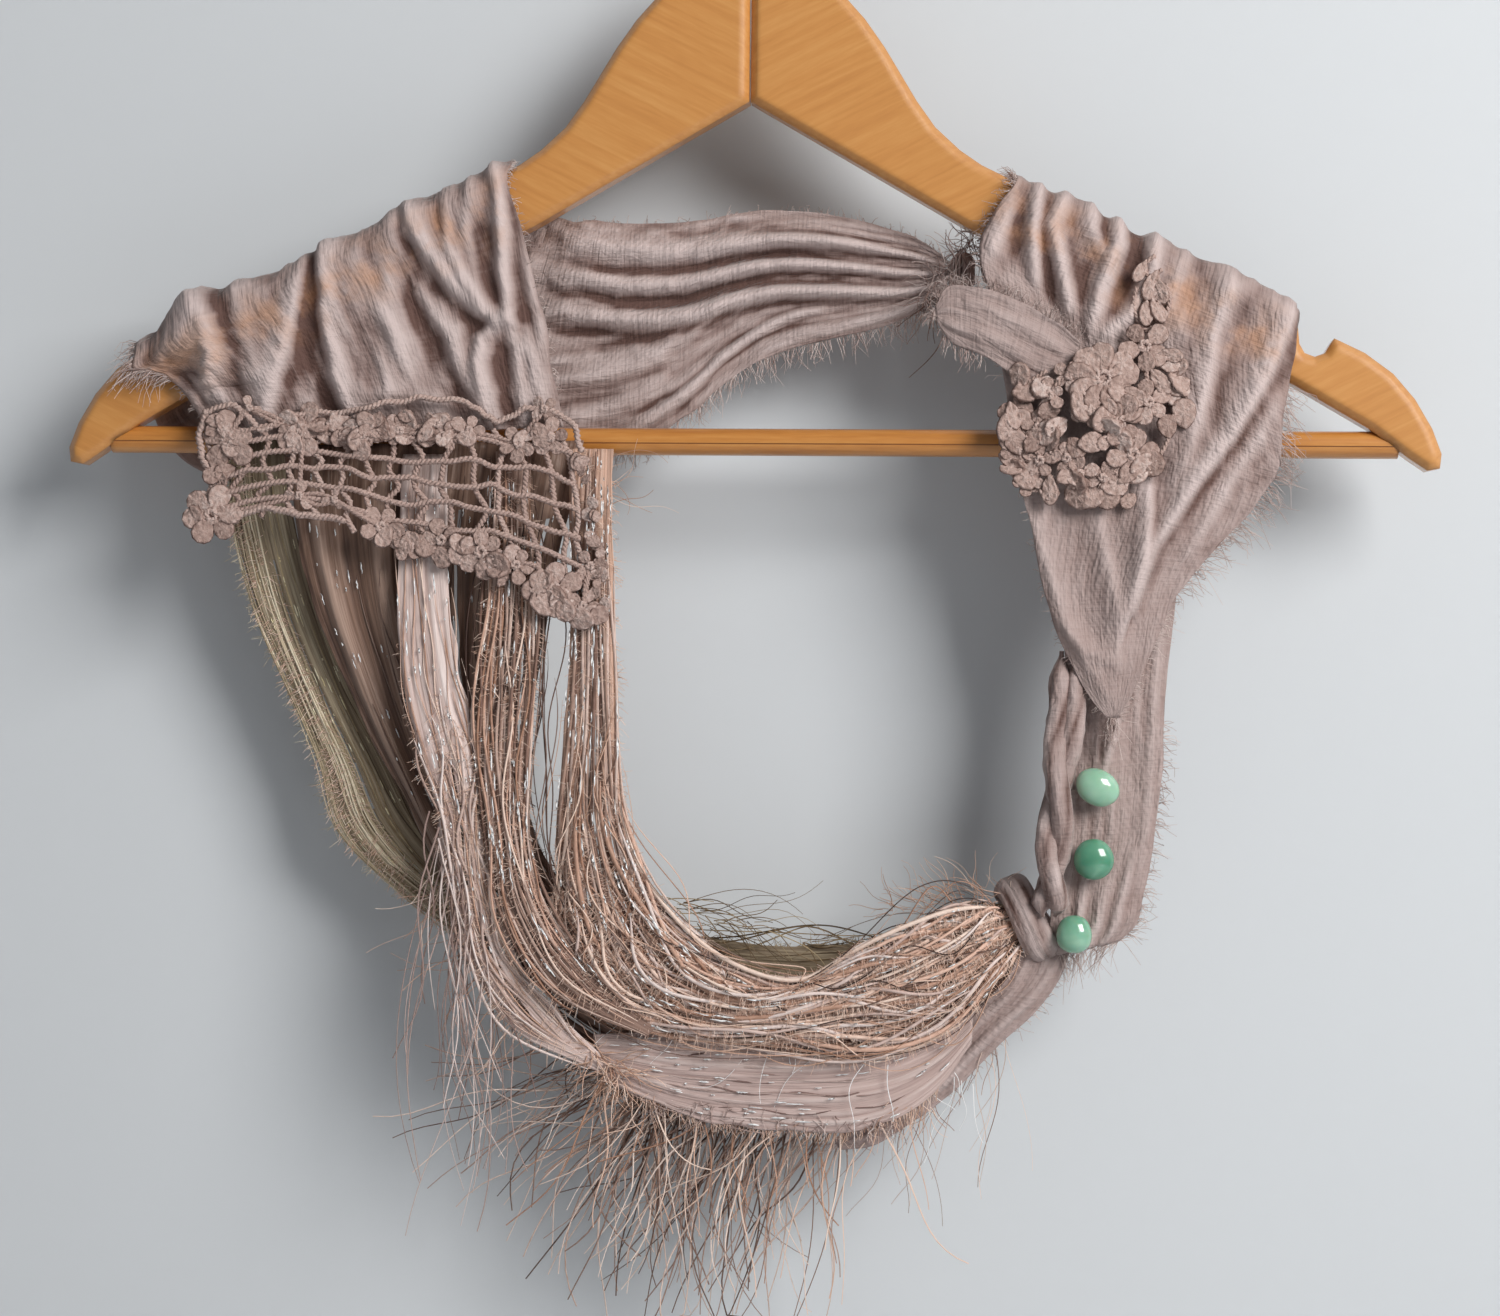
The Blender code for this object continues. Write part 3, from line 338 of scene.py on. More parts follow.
@dataclass(frozen=True)
class GauzeFinish(Finish):
    """Thin cotton gauze, loosely woven and garment-dyed mauve, then crushed: its folds carry painted shade,
    darker in the valleys, and painted light, paler on the crests, and single threads show as fine streaks
    both ways."""

    # Painted shade in the fold valleys, the cloth's own mauve, and painted light on the crests.
    dark_and_valley_shade: str = "#614740"
    middle: str = "#a08b86"
    crest: str = "#c8b7b4"
    wood: str = "#bf8a62"

    def paint(self, add: Adder, shader: Any) -> None:
        """Painted shade and light of the folds from the depth value, mottle on Object coordinates, threads on
        the cloth's UV map.
        """
        depth = add("Attribute", attribute_name="depth").outputs["Fac"]
        uv = add("UVMap", uv_map="cloth")
        spot = add("TexCoord").outputs["Object"]
        # Dye mottle about 14 mm across.
        mottle = add("TexNoise", {"Vector": spot, "Scale": 70.0, "Detail": 5.0})
        # Threads are about 0.35 mm apart; they are drawn 1 mm apart so that they show.
        warp_map = add("Mapping", {"Vector": uv, "Scale": (1000.0, 90.0, 1.0)})
        weft_map = add("Mapping", {"Vector": uv, "Scale": (80.0, 900.0, 1.0)})
        warp = add("TexNoise", {"Vector": warp_map, "Scale": 1.0})
        weft = add("TexNoise", {"Vector": weft_map, "Scale": 1.0})
        cloth = add("Math", {0: warp, 1: weft}, operation="ADD")
        # The depth value paints shade into the fold valleys and light onto the crests, mixed with the dye
        # mottle and the threads.
        spread = add("Math", {0: mottle, 1: 0.55, 2: depth}, operation="MULTIPLY_ADD")
        level = add("Math", {0: cloth, 1: 0.18, 2: spread}, operation="MULTIPLY_ADD")
        level = add("Math", {0: level, 1: 0.45}, operation="SUBTRACT")
        stops = ((0.05, self.dark_and_valley_shade), (0.95, self.crest), (0.36, self.middle))
        tint = add("ValToRGB", {"Fac": level}, stops=stops)
        # The cloth is thin, so the wood shows through in patches where it lies on the arms, which is
        # where z + slope · |x| is near the arms' middle line.
        part = add("SeparateXYZ", {0: spot})
        arm = add("Math", {0: part}, operation="ABSOLUTE")
        arm = add("Math", {0: arm, 1: ARM_SLOPE, 2: part.outputs[2]}, operation="MULTIPLY_ADD")
        arm = add("Math", {0: arm, 1: ARM_LINE * MM}, operation="ADD")
        arm = add("Math", {0: arm}, operation="ABSOLUTE")
        span = {"From Min": 0.003, "From Max": 0.016, "To Min": 1.0, "To Max": 0.0}
        near = add("MapRange", {"Value": arm, **span})
        patch = add("MapRange", {"Value": mottle, "From Min": 0.44, "From Max": 0.62, "To Max": 0.55})
        glow = add("Math", {0: near, 1: patch}, operation="MULTIPLY")
        dyed = add("Mix", {0: glow, 6: tint, 7: linear(self.wood)}, data_type="RGBA")
        # Crushed creases about 3 mm apart, with the threads on top.
        crease_map = add("Mapping", {"Vector": uv, "Scale": (420.0, 150.0, 1.0)})
        crease = add("TexNoise", {"Vector": crease_map, "Scale": 1.0, "Detail": 4.0, "Distortion": 0.6})
        # Twill ribs, 0.7 mm apart on the real cloth, drawn 1 mm apart.
        weave = {"Vector": uv, "Scale": 225.0, "Distortion": 1.5, "Detail Scale": 0.3}
        twill = add("TexWave", weave, bands_direction="DIAGONAL").outputs["Fac"]
        ribs = add("Math", {0: twill, 1: 0.14, 2: cloth}, operation="MULTIPLY_ADD")
        relief = add("Math", {0: crease, 1: 2.0, 2: ribs}, operation="MULTIPLY_ADD")
        bump = add("Bump", {"Height": relief, "Strength": 0.55, "Distance": 0.0009})
        feed(shader, {
            "Base Color": dyed.outputs[2], "Normal": bump, "Roughness": 0.86, "IOR": 1.46,
            "Sheen Weight": 0.25, "Sheen Roughness": 0.4,
        })


@dataclass(frozen=True)
class RibbonFinish(Finish):
    """Woven acetate and cotton ribbon, partly unravelled: its warp lies in fine lengthwise lines of uneven
    tone with a soft sheen, and its folds carry painted shade in the valleys and painted light on the crests."""

    dark_and_valley_shade: str
    middle: str
    crest: str
    lines_per_metre: float = 900.0
    roughness: float = 0.55

    def paint(self, add: Adder, shader: Any) -> None:
        """Lengthwise lines on the cloth's UV map, over the folds' depth value, which paints shade in the
        valleys and light on the crests.
        """
        depth = add("Attribute", attribute_name="depth").outputs["Fac"]
        uv = add("UVMap", uv_map="cloth")
        # Warp threads about 0.5 mm apart, drawn about 1.1 mm apart.
        fine_map = add("Mapping", {"Vector": uv, "Scale": (self.lines_per_metre, 22.0, 1.0)})
        broad_map = add("Mapping", {"Vector": uv, "Scale": (210.0, 9.0, 1.0)})
        fine = add("TexNoise", {"Vector": fine_map, "Scale": 1.0, "Detail": 3.0})
        broad = add("TexNoise", {"Vector": broad_map, "Scale": 1.0})
        lines = add("Math", {0: fine, 1: broad}, operation="ADD")
        # Painted shade and light: the depth value darkens the fold valleys and pales the crests; dark warp
        # lines reach the same dark colour.
        level = add("Math", {0: lines, 1: 0.9, 2: depth}, operation="MULTIPLY_ADD")
        level = add("Math", {0: level, 1: 0.9}, operation="SUBTRACT")
        stops = ((0.05, self.dark_and_valley_shade), (0.95, self.crest), (0.5, self.middle))
        tint = add("ValToRGB", {"Fac": level}, stops=stops)
        bump = add("Bump", {"Height": lines, "Strength": 0.7, "Distance": 0.0008})
        feed(shader, {
            "Base Color": tint, "Normal": bump, "Roughness": self.roughness, "Sheen Weight": 0.2,
            "IOR": 1.48, "Anisotropic": 0.3,
        })


@dataclass(frozen=True)
class ThreadFinish(Finish):
    """Loose spun threads: each has one tone of its dye lot, varied along it by slubs, and no gloss; on
    crochet pads the tone also carries painted shade and light.
    """

    dark: str
    middle: str
    pale: str
    roughness: float = 0.75
    metallic: float = 0.0
    slubs_per_metre: float = 400.0
    relief: float = 0.4

    def paint(self, add: Adder, shader: Any) -> None:
        """One shade a thread from its tone value, with a slight mottle along it."""
        tone = add("Attribute", attribute_name="tone").outputs["Fac"]
        spot = add("TexCoord").outputs["Object"]
        # Slubs are about 2.5 mm long, and the stitches of crochet about 1 mm.
        slub = add("TexNoise", {"Vector": spot, "Scale": self.slubs_per_metre, "Detail": 3.0})
        level = add("Math", {0: slub, 1: 0.4, 2: tone}, operation="MULTIPLY_ADD")
        level = add("Math", {0: level, 1: 0.2}, operation="SUBTRACT")
        stops = ((0.0, self.dark), (1.0, self.pale), (0.5, self.middle))
        tint = add("ValToRGB", {"Fac": level}, stops=stops)
        bump = add("Bump", {"Height": slub, "Strength": self.relief, "Distance": 0.0008})
        feed(shader, {
            "Base Color": tint, "Normal": bump, "Roughness": self.roughness, "Metallic": self.metallic,
            "IOR": 1.5,
        })


@dataclass(frozen=True)
class BeechFinish(Finish):
    """Beech under honey-coloured lacquer: straight fine grain along the arm with short dark flecks,
    and a smooth clear coat that gives sharp highlights."""

    lean: float = 0.0
    dark: str = "#bf8042"
    middle: str = "#cb8d4b"
    pale: str = "#d49a59"
    # Colour of a dark line along the bar, or empty for none.
    seam: str = ""

    def paint(self, add: Adder, shader: Any) -> None:
        """Grain stretched along the wood, turned by the arm's slope."""
        spot = add("TexCoord").outputs["Object"]
        turned = add("Mapping", {"Vector": spot, "Rotation": (0.0, self.lean, 0.0)})
        # Grain lines about 2 mm apart and 50 mm long; flecks are 0.8 by 6 mm.
        long_map = add("Mapping", {"Vector": turned, "Scale": (22.0, 420.0, 480.0)})
        fleck_map = add("Mapping", {"Vector": turned, "Scale": (160.0, 900.0, 1200.0)})
        grain = add("TexNoise", {"Vector": long_map, "Scale": 1.0, "Detail": 4.0, "Distortion": 0.3})
        fleck = add("TexNoise", {"Vector": fleck_map, "Scale": 1.0})
        level = add("Math", {0: fleck, 1: 0.35, 2: grain}, operation="MULTIPLY_ADD")
        stops = ((0.3, self.dark), (1.0, self.pale), (0.66, self.middle))
        colour = add("ValToRGB", {"Fac": level}, stops=stops).outputs[0]
        if self.seam:
            # A dark line, 0.4 mm wide, just under the middle of the bar.
            high = add("SeparateXYZ", {0: spot}).outputs[2]
            line = add("Math", {0: high, 1: -(BAR_DROP + 0.7) * MM, 2: 0.2 * MM}, operation="COMPARE")
            mixed = add("Mix", {0: line, 6: colour, 7: linear(self.seam)}, data_type="RGBA")
            colour = mixed.outputs[2]
        # The real edges are rounded to about 3 mm.
        soft = add("Bevel", {"Radius": 0.003}, samples=6)
        bump = add("Bump", {"Height": level, "Normal": soft, "Strength": 0.1, "Distance": 0.0003})
        feed(shader, {
            "Base Color": colour, "Normal": bump, "Roughness": 0.38, "IOR": 1.5, "Coat Weight": 0.6,
            "Coat Roughness": 0.08,
        })


@dataclass(frozen=True)
class SteelFinish(Finish):
    """Bright zinc-plated drawn wire with a soft, slightly cloudy gloss."""

    def paint(self, add: Adder, shader: Any) -> None:
        """Cloudy gloss on Object coordinates."""
        spot = add("TexCoord").outputs["Object"]
        # Plating clouds about 3 mm across.
        cloud = add("TexNoise", {"Vector": spot, "Scale": 330.0, "Detail": 4.0})
        tint = add("ValToRGB", {"Fac": cloud}, stops=((0.3, "#b9babd"), (0.75, "#d9dadc")))
        gloss = add("MapRange", {"Value": cloud, "To Min": 0.2, "To Max": 0.38})
        feed(shader, {"Base Color": tint, "Roughness": gloss, "Metallic": 1.0})


@dataclass(frozen=True)
class JadeFinish(Finish):
    """Tumbled green jade: cloudy pale and deep green veins a little below a waxy polish."""

    deep: str
    middle: str
    pale: str

    def paint(self, add: Adder, shader: Any) -> None:
        """Veins on Object coordinates, with light let in under the surface."""
        spot = add("TexCoord").outputs["Object"]
        # Clouds about 8 mm across.
        cloud = add("TexNoise", {"Vector": spot, "Scale": 120.0, "Detail": 2.0, "Distortion": 0.3})
        stops = ((0.3, self.deep), (0.74, self.pale), (0.52, self.middle))
        tint = add("ValToRGB", {"Fac": cloud}, stops=stops)
        feed(shader, {
            "Base Color": tint, "Roughness": 0.16, "IOR": 1.62, "Coat Weight": 0.6, "Coat Roughness": 0.04,
            "Subsurface Weight": 0.35, "Subsurface Scale": 0.002,
        })


@dataclass(frozen=True)
class WallFinish(Finish):
    """Painted plaster of the studio wall or floor, matt and nearly white."""

    colour: str = "#d8dce0"
    one_sided: bool = False

    def paint(self, add: Adder, shader: Any) -> None:
        """A plain matt colour; the wall is seen from its front alone."""
        feed(shader, {"Base Color": linear(self.colour), "Roughness": 0.95, "Specular IOR Level": 0.2})
        if self.one_sided:
            back = add("NewGeometry").outputs["Backfacing"]
            mixed = add("MixShader", {0: back, 1: shader, 2: add("BsdfTransparent")})
            feed(shader.id_data.nodes["Material Output"], {"Surface": mixed})


GAUZE = GauzeFinish("crushed_mauve_gauze")
# Ribbon colours: dark warp and painted valley shade, the ribbon's own colour, and pale warp and painted crest
# light.
OLIVE = RibbonFinish("olive_gold_ribbon_warp", "#513f2d", "#918069", "#c9ba9f")
CORDS = RibbonFinish("rose_brown_cords_warp", "#553c33", "#97786a", "#ccb0a3")
TAUPE = RibbonFinish("brown_taupe_ribbon_sheen", "#432a20", "#7f6252", "#ae9283", 800.0, 0.45)
PINK = RibbonFinish("peach_pink_ribbon_warp", "#805a48", "#cba48f", "#eccfbf")
SATIN = RibbonFinish("pale_pink_satin_strip", "#a2867e", "#d6bfb8", "#efe4e1", 700.0, 0.4)
MAUVE = RibbonFinish("lined_mauve_ribbon", "#8b706a", "#c3aba5", "#e0d0cb", 1100.0, 0.5)
CROCHET = ThreadFinish("crochet_cotton_yarn", "#7d635a", "#b99f96", "#e4d4ce", 0.9, 0.0, 900.0, 1.0)
GAUZE_HAIR = ThreadFinish("gauze_frayed_hairs", "#8d736c", "#b49e98", "#dccdc8", 0.9)
BROWN = ThreadFinish("dark_brown_loose_threads", "#35231e", "#644a40", "#9b8479")
FRINGE = ThreadFinish("brown_pink_fringe_threads", "#523b31", "#ae9083", "#efdcd1")
OLIVE_THREAD = ThreadFinish("olive_gold_loose_threads", "#4a3a26", "#80694c", "#b9a684", 0.6)
MAUVE_THREAD = ThreadFinish("mauve_loose_threads", "#7b625c", "#b29a93", "#dfcfca", 0.7)
TORN_PEACH = ThreadFinish("torn_peach_ribbon_strips", "#a57c66", "#deb7a3", "#f3ddcf", 0.6)
PALE_GOLD = ThreadFinish("pale_gold_edge_threads", "#97876d", "#c5b499", "#e6dac3", 0.7)
ROSE_BROWN = ThreadFinish("rose_brown_warp_cords", "#735549", "#b09182", "#dec6bb", 0.65)
TORN_PINK = ThreadFinish("torn_pink_ribbon_strips", "#a68a7e", "#d7beb5", "#f1e3de", 0.55)
TORN_TAUPE = ThreadFinish("torn_taupe_ribbon_strips", "#54403a", "#86695d", "#b0968a", 0.55)
# Painted glints: these metallic tapes are near white all over as a painted highlight, with little metal in
# their shader.
SILVER_PAINTED_GLINT = ThreadFinish("silver_tape_painted_glint", "#f4f6f8", "#fdfdfe", "#ffffff", 0.3, 0.15)
GOLD_PAINTED_GLINT = ThreadFinish("gold_tape_painted_glint", "#e2d2a6", "#f3e8c6", "#fffbe6", 0.3, 0.2)
PEACH = ThreadFinish("peach_unravelled_threads", "#aa8069", "#ddb7a2", "#f5dfd1", 0.6)


RIBBON_SLOTS = {
    "olive": Slot.OLIVE, "taupe": Slot.TAUPE, "satin": Slot.PINK, "cords": Slot.PINK, "swag": Slot.PINK,
    "mauve": Slot.PINK,
}


def dress(
    made: Piece, finish: Finish, nodes: Sequence[str] = (), wall: float = 0.0
) -> Piece:
    """Gives a piece its material, its body and the nodes it stands for.

    Args:
        made: The piece.
        finish: Its finish.
        nodes: CAD nodes that it replaces.
        wall: Thickness that a sheet gets on its front, in millimetres.

    Returns:
        The same piece.
    """
    if wall:
        thicken = made.modifiers.new("wall", "SOLIDIFY")
        thicken.thickness = wall * MM
        thicken.offset = 1.0
    made.data.materials.clear()
    made.data.materials.append(finish.material())
    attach(made, "root")
    if nodes:
        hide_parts(*nodes)
    log.info("%s: %d faces", made.name, len(made.data.polygons))
    return made


# Cloth.


@dataclass(frozen=True)
class Row:
    """A line across a piece of cloth: x and z of both its edge points, its depth, how far its middle
    bulges out, and the depth of edge b where that is another."""

    ax: float
    az: float
    bx: float
    bz: float
    y: float
    crown: float = 0.0
    by: float | None = None

    @property
    def line(self) -> tuple[float, ...]:
        """Both edge points and the bulge."""
        far = self.y if self.by is None else self.by
        return self.ax, self.y, self.az, self.bx, far, self.bz, self.crown


@dataclass(frozen=True)
class Lane:
    """A lane down a cloth: the rows it runs between, its place across (0 at edge a, 1 at edge b) at
    both ends, and its width as a share of the cloth."""

    from_row: float
    to_row: float
    from_t: float
    to_t: float
    width: float

    def at(self, row: Array) -> tuple[Array, Array]:
        """How far down the lane a row is, from 0 to 1, and the place of the lane's middle there."""
        run = np.clip((row - self.from_row) / (self.to_row - self.from_row), 0, 1)
        return run, self.from_t + (self.to_t - self.from_t) * run


@dataclass(frozen=True)
class Slit(Lane):
    """A long opening between strips, widest halfway down its lane and closed at both ends."""


@dataclass(frozen=True)
class Fold(Lane):
    """A ridge down a lane, which is half as wide as the ridge, and its height in millimetres."""

    height: float


@dataclass(frozen=True)
class Crease:
    """A field of small creases: their spacing across and length along in millimetres, and height. A
    soft field swells and sinks gently; a crisp one stands up in narrow lines."""

    across: float
    along: float
    height: float
    seed: int
    soft: bool = False


@dataclass(frozen=True)
class Ridge:
    """A fold seen from the front: the line of its crest in x and z, how far it slopes to the left and
    to the right of the way down that line, and its height, all in millimetres."""

    line: tuple[Span, ...]
    left: float
    right: float
    height: float

    def height_at(self, x: Array, z: Array) -> Array:
        """Height of the fold: e to the power of minus its slope share to the 1.5, and lower towards
        both ends of its line.

        Args:
            x: Places along the hanger.
            z: Heights, of the same shape.

        Returns:
            Heights over the cloth in millimetres.
        """
        points = np.array(self.line, float)
        steps = np.diff(points, axis=0)
        sizes = np.linalg.norm(steps, axis=1)
        starts = np.concatenate([[0.0], np.cumsum(sizes)])
        near, side, share = np.full(np.shape(x), 1e9), np.ones(np.shape(x)), np.zeros(np.shape(x))
        for start, step, size, reach in zip(points, steps, sizes, starts):
            px, pz = x - start[0], z - start[1]
            part = np.clip((px * step[0] + pz * step[1]) / size**2, 0, 1)
            far = np.hypot(px - part * step[0], pz - part * step[1])
            closer = far < near
            near = np.where(closer, far, near)
            side = np.where(closer, step[0] * pz - step[1] * px, side)
            share = np.where(closer, (reach + part * size) / starts[-1], share)
        slope = np.where(side > 0, self.right, self.left)
        ends = np.sqrt(np.sin(np.pi * (0.08 + 0.84 * share)))
        return self.height * ends * np.exp(-((near / slope) ** 1.5))


@dataclass(frozen=True)
class Trail:
    """Strips or threads that follow one ribbon: how many, between which rows and places across, how
    long in rows, how far they wander, their height over it, half width, thickness share and lashes."""

    ribbon: str
    count: int
    rows: Span
    places: Span
    length: Span
    wander: float
    above: Span
    half_width: float
    flat: float
    lash: int
    finish: Finish
    seed: int


@dataclass
class Cloth:
    """A sheet lofted through rows, with folds and creases raised to its front."""

    rows: Sequence[Row]
    folds: Sequence[Fold] = ()
    creases: Sequence[Crease] = ()
    slits: Sequence[Slit] = ()
    ridges: Sequence[Ridge] = ()
    front_rows: int = 0
    lift: float = 0.0
    full_width: float = 110.0
    cut_share: float = 0.0
    # Millimetres of fold depth over which the painted shade runs from the darkest valley to the palest crest.
    relief: float = 3.4
    ragged: float = 0.0
    seed: int = 1

    def __post_init__(self) -> None:
        """Turns the rows into a table and measures the cloth along its middle."""
        self.table = np.array([row.line for row in self.rows], float)
        middle = (self.table[:, 0:3] + self.table[:, 3:6]) / 2
        steps = np.linalg.norm(np.diff(middle, axis=0), axis=1)
        self.down = np.concatenate([[0.0], np.cumsum(steps)])
        self.widths = np.linalg.norm(self.table[:, 3:6] - self.table[:, 0:3], axis=1)
        self.width = float(self.widths.max())
        weight = np.where(np.arange(len(steps)) < self.front_rows, 1.7, 1.0)
        self.dense = np.concatenate([[0.0], np.cumsum(steps * weight)])

    def flat_at(self, row: Array, t: Array) -> tuple[Array, Array]:
        """Places on the flat cloth in millimetres: across from its middle, and down from its first row.
        Where the cloth is cut to shape, not gathered, it is as narrow there as it hangs."""
        numbers = np.arange(len(self.down))
        hung = np.where(numbers < self.front_rows, self.widths, self.width)
        wide = self.width + self.cut_share * (np.interp(row, numbers, hung) - self.width)
        return (t - 0.5) * wide, np.interp(row, numbers, self.down)

    def height_at(self, row: Array, t: Array) -> Array:
        """Height of folds and creases: each fold is a bell curve across, times the root of a half sine
        along; each crease field is the square of 1 less the size of lattice noise.

        Args:
            row: Row numbers.
            t: Places across, of the same shape.

        Returns:
            Heights in millimetres.
        """
        height = np.zeros(np.shape(row))
        for fold in self.folds:
            run, middle = fold.at(row)
            bell = np.exp(-(((t - middle) / fold.width) ** 2))
            height = height + fold.height * np.sqrt(np.sin(np.pi * run)) * bell
        u, v = self.flat_at(row, t)
        for crease in self.creases:
            sway = 0.8 * lattice_noise(u / 40 + 9, v / 40, crease.seed + 50)
            noise = lattice_noise(u / crease.across + sway, v / crease.along, crease.seed)
            height = height + crease.height * (noise if crease.soft else (1 - np.abs(noise)) ** 2)
        return height

    def ridges_at(self, row: Array, t: Array) -> Array:
        """Height of the folds that are seen from the front, which fade out over the hanger's arm."""
        base = self.base_at(row, t)
        front = np.clip((5 - base[..., 1]) / 6, 0, 1) * np.clip(0.3 - base[..., 1] / 9, 0, 1)
        return front * sum(
            (ridge.height_at(base[..., 0], base[..., 2]) for ridge in self.ridges), np.zeros(np.shape(row))
        )

    def base_at(self, row: Array, t: Array) -> Array:
        """Points of the plain loft, straight from edge a to edge b of each row."""
        table = smooth_table(self.table, row)
        return table[..., 0:3] + (table[..., 3:6] - table[..., 0:3]) * t[..., None]

    def points_at(self, row: Array, t: Array, above: Array | float = 0.0) -> Array:
        """Points on the cloth, raised along its normal by its crown, its folds and a bit more.

        Args:
            row: Row numbers.
            t: Places across, of the same shape; a little under 0 or over 1 is beside the cloth.
            above: How far above the cloth, in millimetres.

        Returns:
            Points, with x, y and z last.
        """
        table = smooth_table(self.table, row)
        width = np.linalg.norm(table[..., 3:6] - table[..., 0:3], axis=-1)
        down = self.base_at(row + 0.05, t) - self.base_at(row - 0.05, t)
        out = unit(np.cross(table[..., 3:6] - table[..., 0:3], down))
        gathered = np.clip(width / self.full_width, 0, 1)
        bulge = table[..., 6] * np.sin(np.pi * np.clip(t, 0, 1))
        on = np.clip(t, 0, 1)
        height = bulge + gathered * self.height_at(row, on) + self.ridges_at(row, on) + self.lift + above
        return self.base_at(row, t) + out * height[..., None]

    def edges_at(self, row: Array) -> tuple[Array, Array]:
        """Both edges of the cloth across, with their ragged wander."""
        _, down = self.flat_at(row, np.zeros_like(row))
        low, high = (lattice_noise(down / 9, down * 0 + line, self.seed) for line in (0.5, 7.5))
        return self.ragged * (0.6 + low) / self.width, 1 - self.ragged * (0.6 + high) / self.width

    def sheet(self, across: int, along: int) -> Skin:
        """The cloth as a grid of vertices, without the cells in its slits.

        Args:
            across: Cells across.
            along: Cells along.

        Returns:
            The skin, with its flat places as UVs and its folds' depth as a value.
        """
        lines = np.interp(np.linspace(0, self.dense[-1], along + 1), self.dense, np.arange(len(self.dense)))
        row, share = np.meshgrid(lines, np.linspace(0, 1, across + 1), indexing="ij")
        low, high = self.edges_at(row)
        t = low + (high - low) * share
        keep = np.ones((along, across), bool)
        cell_row, cell_t = (row[:-1, :-1] + row[1:, 1:]) / 2, (t[:-1, :-1] + t[1:, 1:]) / 2
        for slit in self.slits:
            run, middle = slit.at(cell_row)
            keep = keep & (np.abs(cell_t - middle) > slit.width / 2 * np.sin(np.pi * run))
        wide = np.interp(row, np.arange(len(self.table)), self.widths)
        height = self.height_at(row, t) * np.clip(wide / self.full_width, 0, 1) ** 0.7
        height = height + self.ridges_at(row, t)
        # Painted shade and light: each vertex's height against the mean of its neighbours across becomes the
        # depth value, low in valleys and high on crests, which the finishes paint darker or paler.
        span = max(across // 14, 3)
        padded = np.pad(height, ((0, 0), (span, span)), mode="edge")
        total = np.cumsum(np.pad(padded, ((0, 0), (1, 0))), axis=1)
        local = (total[:, 2 * span + 1 :] - total[:, : -2 * span - 1]) / (2 * span + 1)
        depth = np.clip(0.5 + (height - local) / self.relief, 0, 1)
        uv = np.stack(self.flat_at(row, t), axis=-1).reshape(-1, 2)
        faces = quads(along + 1, across + 1)[keep]
        return Skin(self.points_at(row, t).reshape(-1, 3), faces, uv, {"depth": depth.ravel()})

    def trails(self, trail: Trail, steps: int) -> Array:
        """Middle lines of strips or threads that follow the cloth down its rows, each wandering across
        by a slow sine.

        Args:
            trail: Which lines.
            steps: Points on each.

        Returns:
            One line a row, of points in millimetres.
        """
        pick = np.random.default_rng(trail.seed)
        count, wander, (low, high) = trail.count, trail.wander, trail.places
        start = pick.uniform(*trail.rows, count)
        at = np.linspace(low, high, count) + pick.normal(0, 0.35, count) * (high - low) / count
        left = (len(self.rows) - 1 - start) * pick.uniform(0.86, 1.0, count)
        run = np.minimum(pick.uniform(*trail.length, count), left)
        turn, speed = pick.uniform(0, 2 * np.pi, (count, 1)), pick.uniform(1.5, 5, (count, 1))
        along = np.linspace(0, 1, steps)
        row = start[:, None] + run[:, None] * along
        sway = np.sin(turn + speed * along * np.pi) - np.sin(turn)
        t = at[:, None] + wander * sway + pick.uniform(-wander, wander, (count, 1)) * along
        above = pick.uniform(*trail.above, (count, 1)) * (0.4 + 0.6 * np.abs(np.sin(turn + 7 * along)))
        return self.points_at(row, t, above)

    def fray(
        self, count: int, edge: int, rows: Span, length: Span, radius: float,
        seed: int,
    ) -> Skin:
        """Short hairs that stand out of one edge, curling and drooping.

        Args:
            count: Number of hairs.
            edge: 0 for edge a, 1 for edge b, 2 for the last row, 3 for the first row.
            rows: Row numbers between which they stand, or places across for edges 2 and 3.
            length: Shortest and longest hair in millimetres.
            radius: Radius of a hair in millimetres.
            seed: Which hairs.

        Returns:
            The hairs as thin tubes.
        """
        pick = np.random.default_rng(seed)
        at = pick.uniform(*rows, count)
        if edge < 2:
            t = self.edges_at(at)[edge]
            root, inside = self.points_at(at, t), self.points_at(at, t + (0.03, -0.03)[edge])
        else:
            row = np.full(count, (len(self.rows) - 1.0, 0.0)[edge - 2])
            root, inside = self.points_at(row, at), self.points_at(row + (-0.1, 0.1)[edge - 2], at)
        out = unit(root - inside) + pick.normal(0, 0.35, (count, 3))
        reach = pick.uniform(*length, count)[:, None, None]
        along = np.linspace(0, 1, 4)[None, :, None]
        curl = pick.normal(0, 0.3, (count, 1, 3)) * np.sin(along * pick.uniform(2, 5, (count, 1, 1)))
        fall = 0.3 * DOWN * along**2
        paths = root[:, None] + reach * (unit(out)[:, None] * along + curl * along + fall)
        radii = radius * (1 - 0.5 * along[..., 0]) * np.ones((count, 1))
        return tubes(paths, radii, pick.uniform(0.3, 1, count))


def declare(
    made: Piece
) -> None:
    """Reads a sheet's flat places from its UV map, and does nothing more with them. The
    flat cut that it was made from, measured on its own grid.

    Args:
        made: The sheet.
    """
    mesh = made.data
    uv = np.empty(2 * len(mesh.loops))
    mesh.uv_layers["cloth"].data.foreach_get("uv", uv)


# Gauze over the left arm: from its front hem up to the arm.
LEFT_FRONT_ROWS = [
    Row(-175, -1, -58, 4, -9.5, 0.5), Row(-179, 7, -60, 13, -9.5, 0.5), Row(-184, 15, -63, 27, -9.5, 0.5),
    Row(-190, 20, -67, 46, -9, 0, -9.5), Row(-196, 21, -72, 68, -8.6, 0, -8.8),
]
